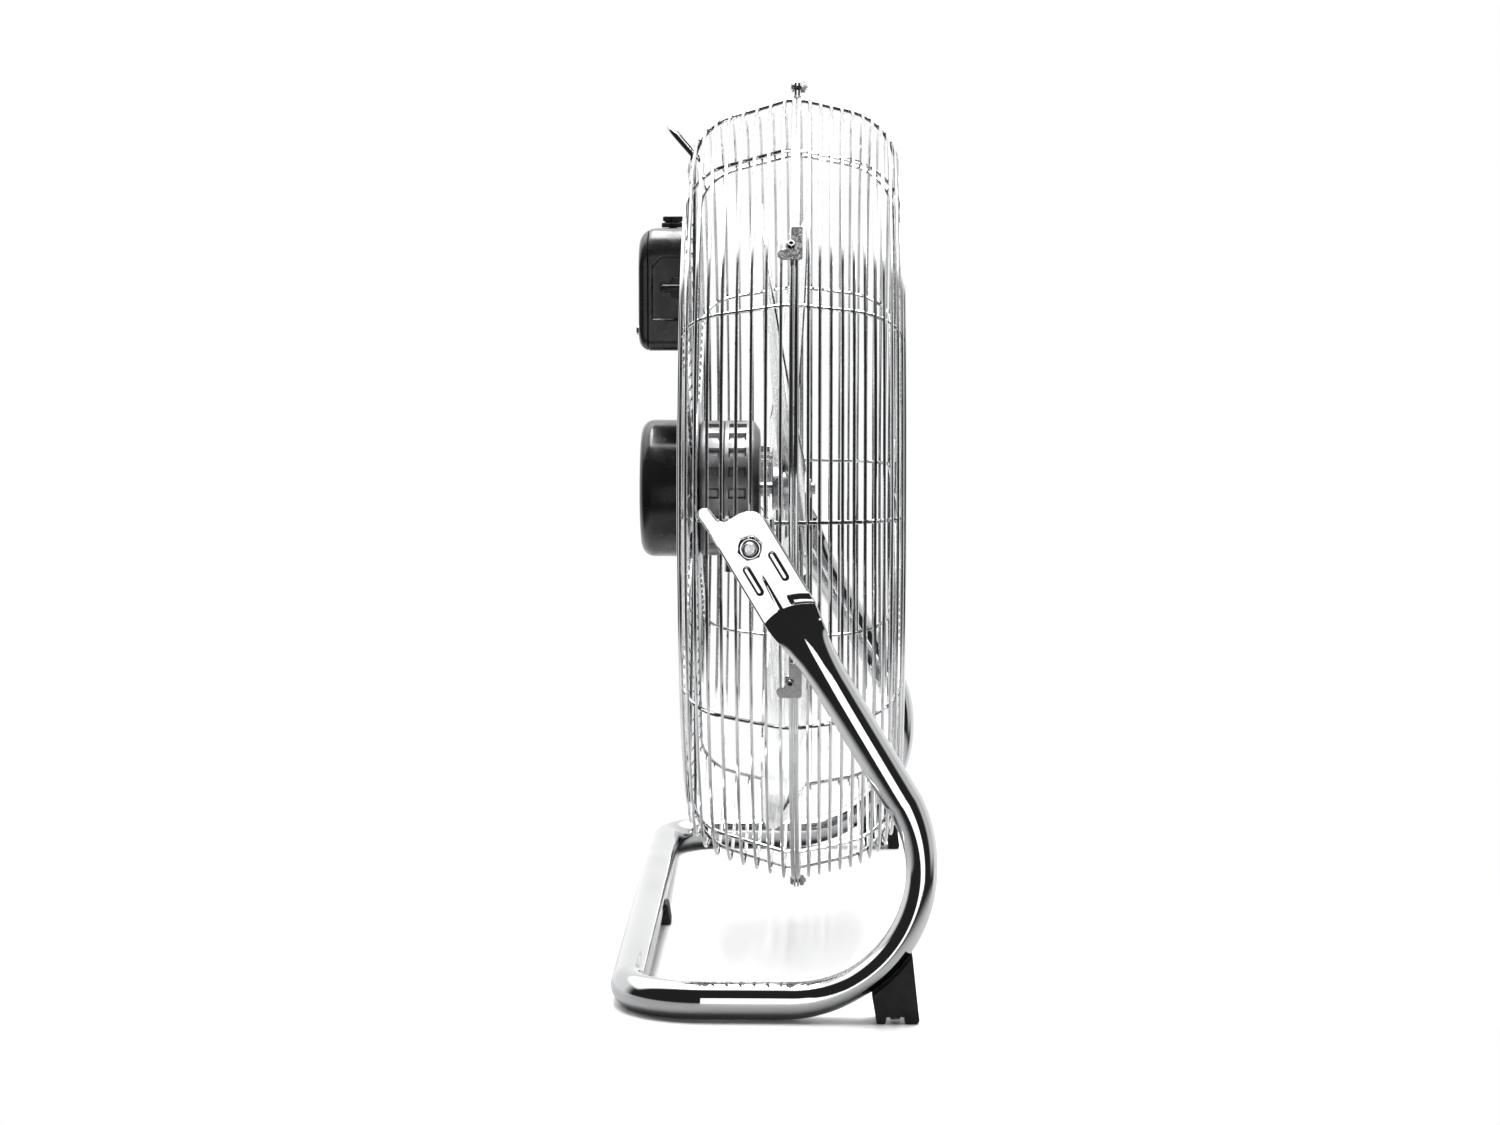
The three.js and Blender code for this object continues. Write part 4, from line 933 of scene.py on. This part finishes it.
# knob: two tiers with a groove between them, each with a fine knurl round it
knob = {"x": -80.5, "teeth": 36, "cut": 0.32}
profile = rounded([(169.4, 3.0), (169.4, 7.4), (172.3, 7.4), (172.6, 5.6), (173.3, 5.6), (173.6, 6.6),
                   (176.6, 6.6), (176.6, 5.0), (176.1, 4.6), (176.1, 0.3)],
                  [0.1, 0.35, 0.35, 0.1, 0.1, 0.25, 0.8, 0.2, 0.2, 0.1], 5, True)
knurl = lambda along, radius, turn: radius - knob["cut"] * (radius > 6.2) * (0.5 + 0.5 * np.cos(
    knob["teeth"] * turn))
knobShape = placed(spun(profile, 288, knurl), (0, 0, 1), (1, 0, 0), (knob["x"], 0, 0))
pointer = placed(slab(rounded([(1.2, -0.45), (5.2, -0.45), (5.2, 0.45), (1.2, 0.45)], 0.3, 4), 175.9, 176.5),
                 (-1, 0, 0), (0, -1, 0), (knob["x"], 0, 0))
makePiece("speedKnob", [knobShape], "knob", "glossBlack", ["speed_knob"])
makePiece("speedKnobPointer", [pointer], "knob", "zincPlate")
print("control box ready")


# Floor, light and camera

studio = {"floorRadius": 1.2, "fadeStart": 0.29, "fadeEnd": 0.52, "floorTone": 0.96,
          "floorMirrored": 0.42, "ceiling": 2.5, "backWall": 1.2, "frontSide": 0.85, "dark": 0.03}
ringCount, spokeCount = 24, 96
r = np.linspace(0.02, studio["floorRadius"], ringCount)[:, None]
turn = np.linspace(0, 2 * np.pi, spokeCount, endpoint=False)[None, :]
disc = np.stack([r * np.cos(turn), r * np.sin(turn), 0 * r * turn], -1).reshape(-1, 3)
disc = np.concatenate([disc, [[0, 0, 0]]])
c = np.arange(spokeCount)
fan = np.stack([np.full(spokeCount, len(disc) - 1), c, (c + 1) % spokeCount], 1)
quads = gridQuads(ringCount, spokeCount, False, True)
floorMesh = bpy.data.meshes.new("studioFloor")
floorMesh.from_pydata(disc.tolist(), [], quads.tolist() + fan.tolist())
floor = bpy.data.objects.new("studioFloor", floorMesh)
floor.location.z = cadLow.z - 0.0002
bpy.context.scene.collection.objects.link(floor)

# pale floor that fades into the surroundings away from the fan
floorFinish = bpy.data.materials.new("paleFloor")
floorFinish.use_nodes = True
tree = floorFinish.node_tree
shader = tree.nodes["Principled BSDF"]
# mirrored in the chrome the floor is a mid grey, as a table top further off would be
seen = tree.nodes.new("ShaderNodeLightPath").outputs["Is Camera Ray"]
floorTone = tree.nodes.new("ShaderNodeMix")
floorTone.data_type = "RGBA"
floorTone.inputs["A"].default_value = (studio["floorMirrored"],) * 3 + (1,)
floorTone.inputs["B"].default_value = (studio["floorTone"],) * 3 + (1,)
tree.links.new(seen, floorTone.inputs["Factor"])
tree.links.new(floorTone.outputs["Result"], shader.inputs["Base Color"])
shader.inputs["Roughness"].default_value = 0.3
shader.inputs["Specular IOR Level"].default_value = 0.35
place = tree.nodes.new("ShaderNodeTexCoord").outputs["Object"]
away = tree.nodes.new("ShaderNodeVectorMath")
away.operation = "LENGTH"
tree.links.new(place, away.inputs[0])
clear = tree.nodes.new("ShaderNodeBsdfTransparent")
blend = tree.nodes.new("ShaderNodeMixShader")
tree.links.new(ranged(tree, away.outputs["Value"], studio["fadeStart"], studio["fadeEnd"], 0, 1),
               blend.inputs["Fac"])
tree.links.new(shader.outputs["BSDF"], blend.inputs[1])
tree.links.new(clear.outputs["BSDF"], blend.inputs[2])
tree.links.new(blend.outputs["Shader"], tree.nodes["Material Output"].inputs["Surface"])
floorMesh.materials.append(floorFinish)

# Surroundings: a bright ceiling, a pale wall behind the fan, a dimmer one at its front side, the rest dark.
# The camera sees a plain white backdrop.
world = bpy.data.worlds.new("studioWorld")
bpy.context.scene.world = world
world.use_nodes = True
tree = world.node_tree
backdrop = tree.nodes["Background"]
backdrop.inputs["Color"].default_value = (1, 1, 1, 1)
backdrop.inputs["Strength"].default_value = 1.0
room = tree.nodes.new("ShaderNodeBackground")
aim = tree.nodes.new("ShaderNodeTexCoord").outputs["Generated"]
split = tree.nodes.new("ShaderNodeSeparateXYZ")
tree.links.new(aim, split.inputs["Vector"])


def mathNode(operation, first, second):
    node = tree.nodes.new("ShaderNodeMath")
    node.operation = operation
    for socket, value in zip(node.inputs, (first, second)):
        if isinstance(value, (int, float)):
            socket.default_value = value
        else:
            tree.links.new(value, socket)
    return node.outputs["Value"]


ceiling = ranged(tree, split.outputs["Z"], 0.35, 0.6, 0.0, studio["ceiling"])
# the bright ceiling starts nearly overhead, and further back towards the fan's ends
sideways = mathNode("MULTIPLY", mathNode("ABSOLUTE", split.outputs["X"], 0.0), 0.3)
behind = mathNode("SUBTRACT", split.outputs["Y"], sideways)
ceiling = mathNode("MULTIPLY", ceiling, ranged(tree, behind, -0.28, -0.11, 0.0, 1.0))
backWall = ranged(tree, split.outputs["Y"], 0.1, 0.45, 0.0, studio["backWall"])
frontSide = ranged(tree, split.outputs["X"], 0.5, 0.8, 0.0, studio["frontSide"])
frontSide = mathNode("MULTIPLY", frontSide, ranged(tree, split.outputs["Y"], -0.4, -0.15, 0.0, 1.0))
frontSide = mathNode("MULTIPLY", frontSide, ranged(tree, split.outputs["Z"], -0.25, -0.05, 0.0, 1.0))
total = mathNode("MAXIMUM", mathNode("MAXIMUM", ceiling, backWall), frontSide)
tree.links.new(mathNode("ADD", total, studio["dark"]), room.inputs["Strength"])
room.inputs["Color"].default_value = (1, 1, 1, 1)
pick = tree.nodes.new("ShaderNodeMixShader")
sight = tree.nodes.new("ShaderNodeLightPath")
tree.links.new(sight.outputs["Is Camera Ray"], pick.inputs["Fac"])
tree.links.new(room.outputs["Background"], pick.inputs[1])
tree.links.new(backdrop.outputs["Background"], pick.inputs[2])
tree.links.new(pick.outputs["Shader"], tree.nodes["World Output"].inputs["Surface"])

# softboxes: one overhead, one low in front of the fan that the side of the stand mirrors
lamps = {
    "topSoftbox": {"place": (0.05, 0.3, 2.2), "aim": (0.0, 0.0, 0.2), "size": (1.5, 1.5), "power": 88.0},
    "frontSoftbox": {"place": (0.195, -1.2, 0.15), "aim": (0.195, 0.0, 0.15), "size": (0.61, 0.6),
                     "power": 2.6},
}
for name, lamp in lamps.items():
    light = bpy.data.lights.new(name, "AREA")
    light.shape = "RECTANGLE"
    light.size, light.size_y = lamp["size"]
    light.energy = lamp["power"]
    lampObject = bpy.data.objects.new(name, light)
    lampObject.location = lamp["place"]
    lampObject.rotation_mode = "QUATERNION"
    lampObject.rotation_quaternion = (Vector(lamp["aim"]) - Vector(lamp["place"])).to_track_quat("-Z", "Y")
    lampObject.visible_camera = False
    bpy.context.scene.collection.objects.link(lampObject)

view = {"place": (0.03038, -2.27203, 0.47317), "towards": (-0.02134, 0.99451, -0.10244), "lens": 83.77}
camera = bpy.data.cameras.new("sideCamera")
camera.lens = view["lens"]
camera.sensor_width = 36.0
cameraObject = bpy.data.objects.new("sideCamera", camera)
cameraObject.location = view["place"]
cameraObject.rotation_mode = "QUATERNION"
cameraObject.rotation_quaternion = Vector(view["towards"]).to_track_quat("-Z", "Y")
bpy.context.scene.collection.objects.link(cameraObject)
bpy.context.scene.camera = cameraObject
bpy.context.scene.view_settings.view_transform = "Standard"
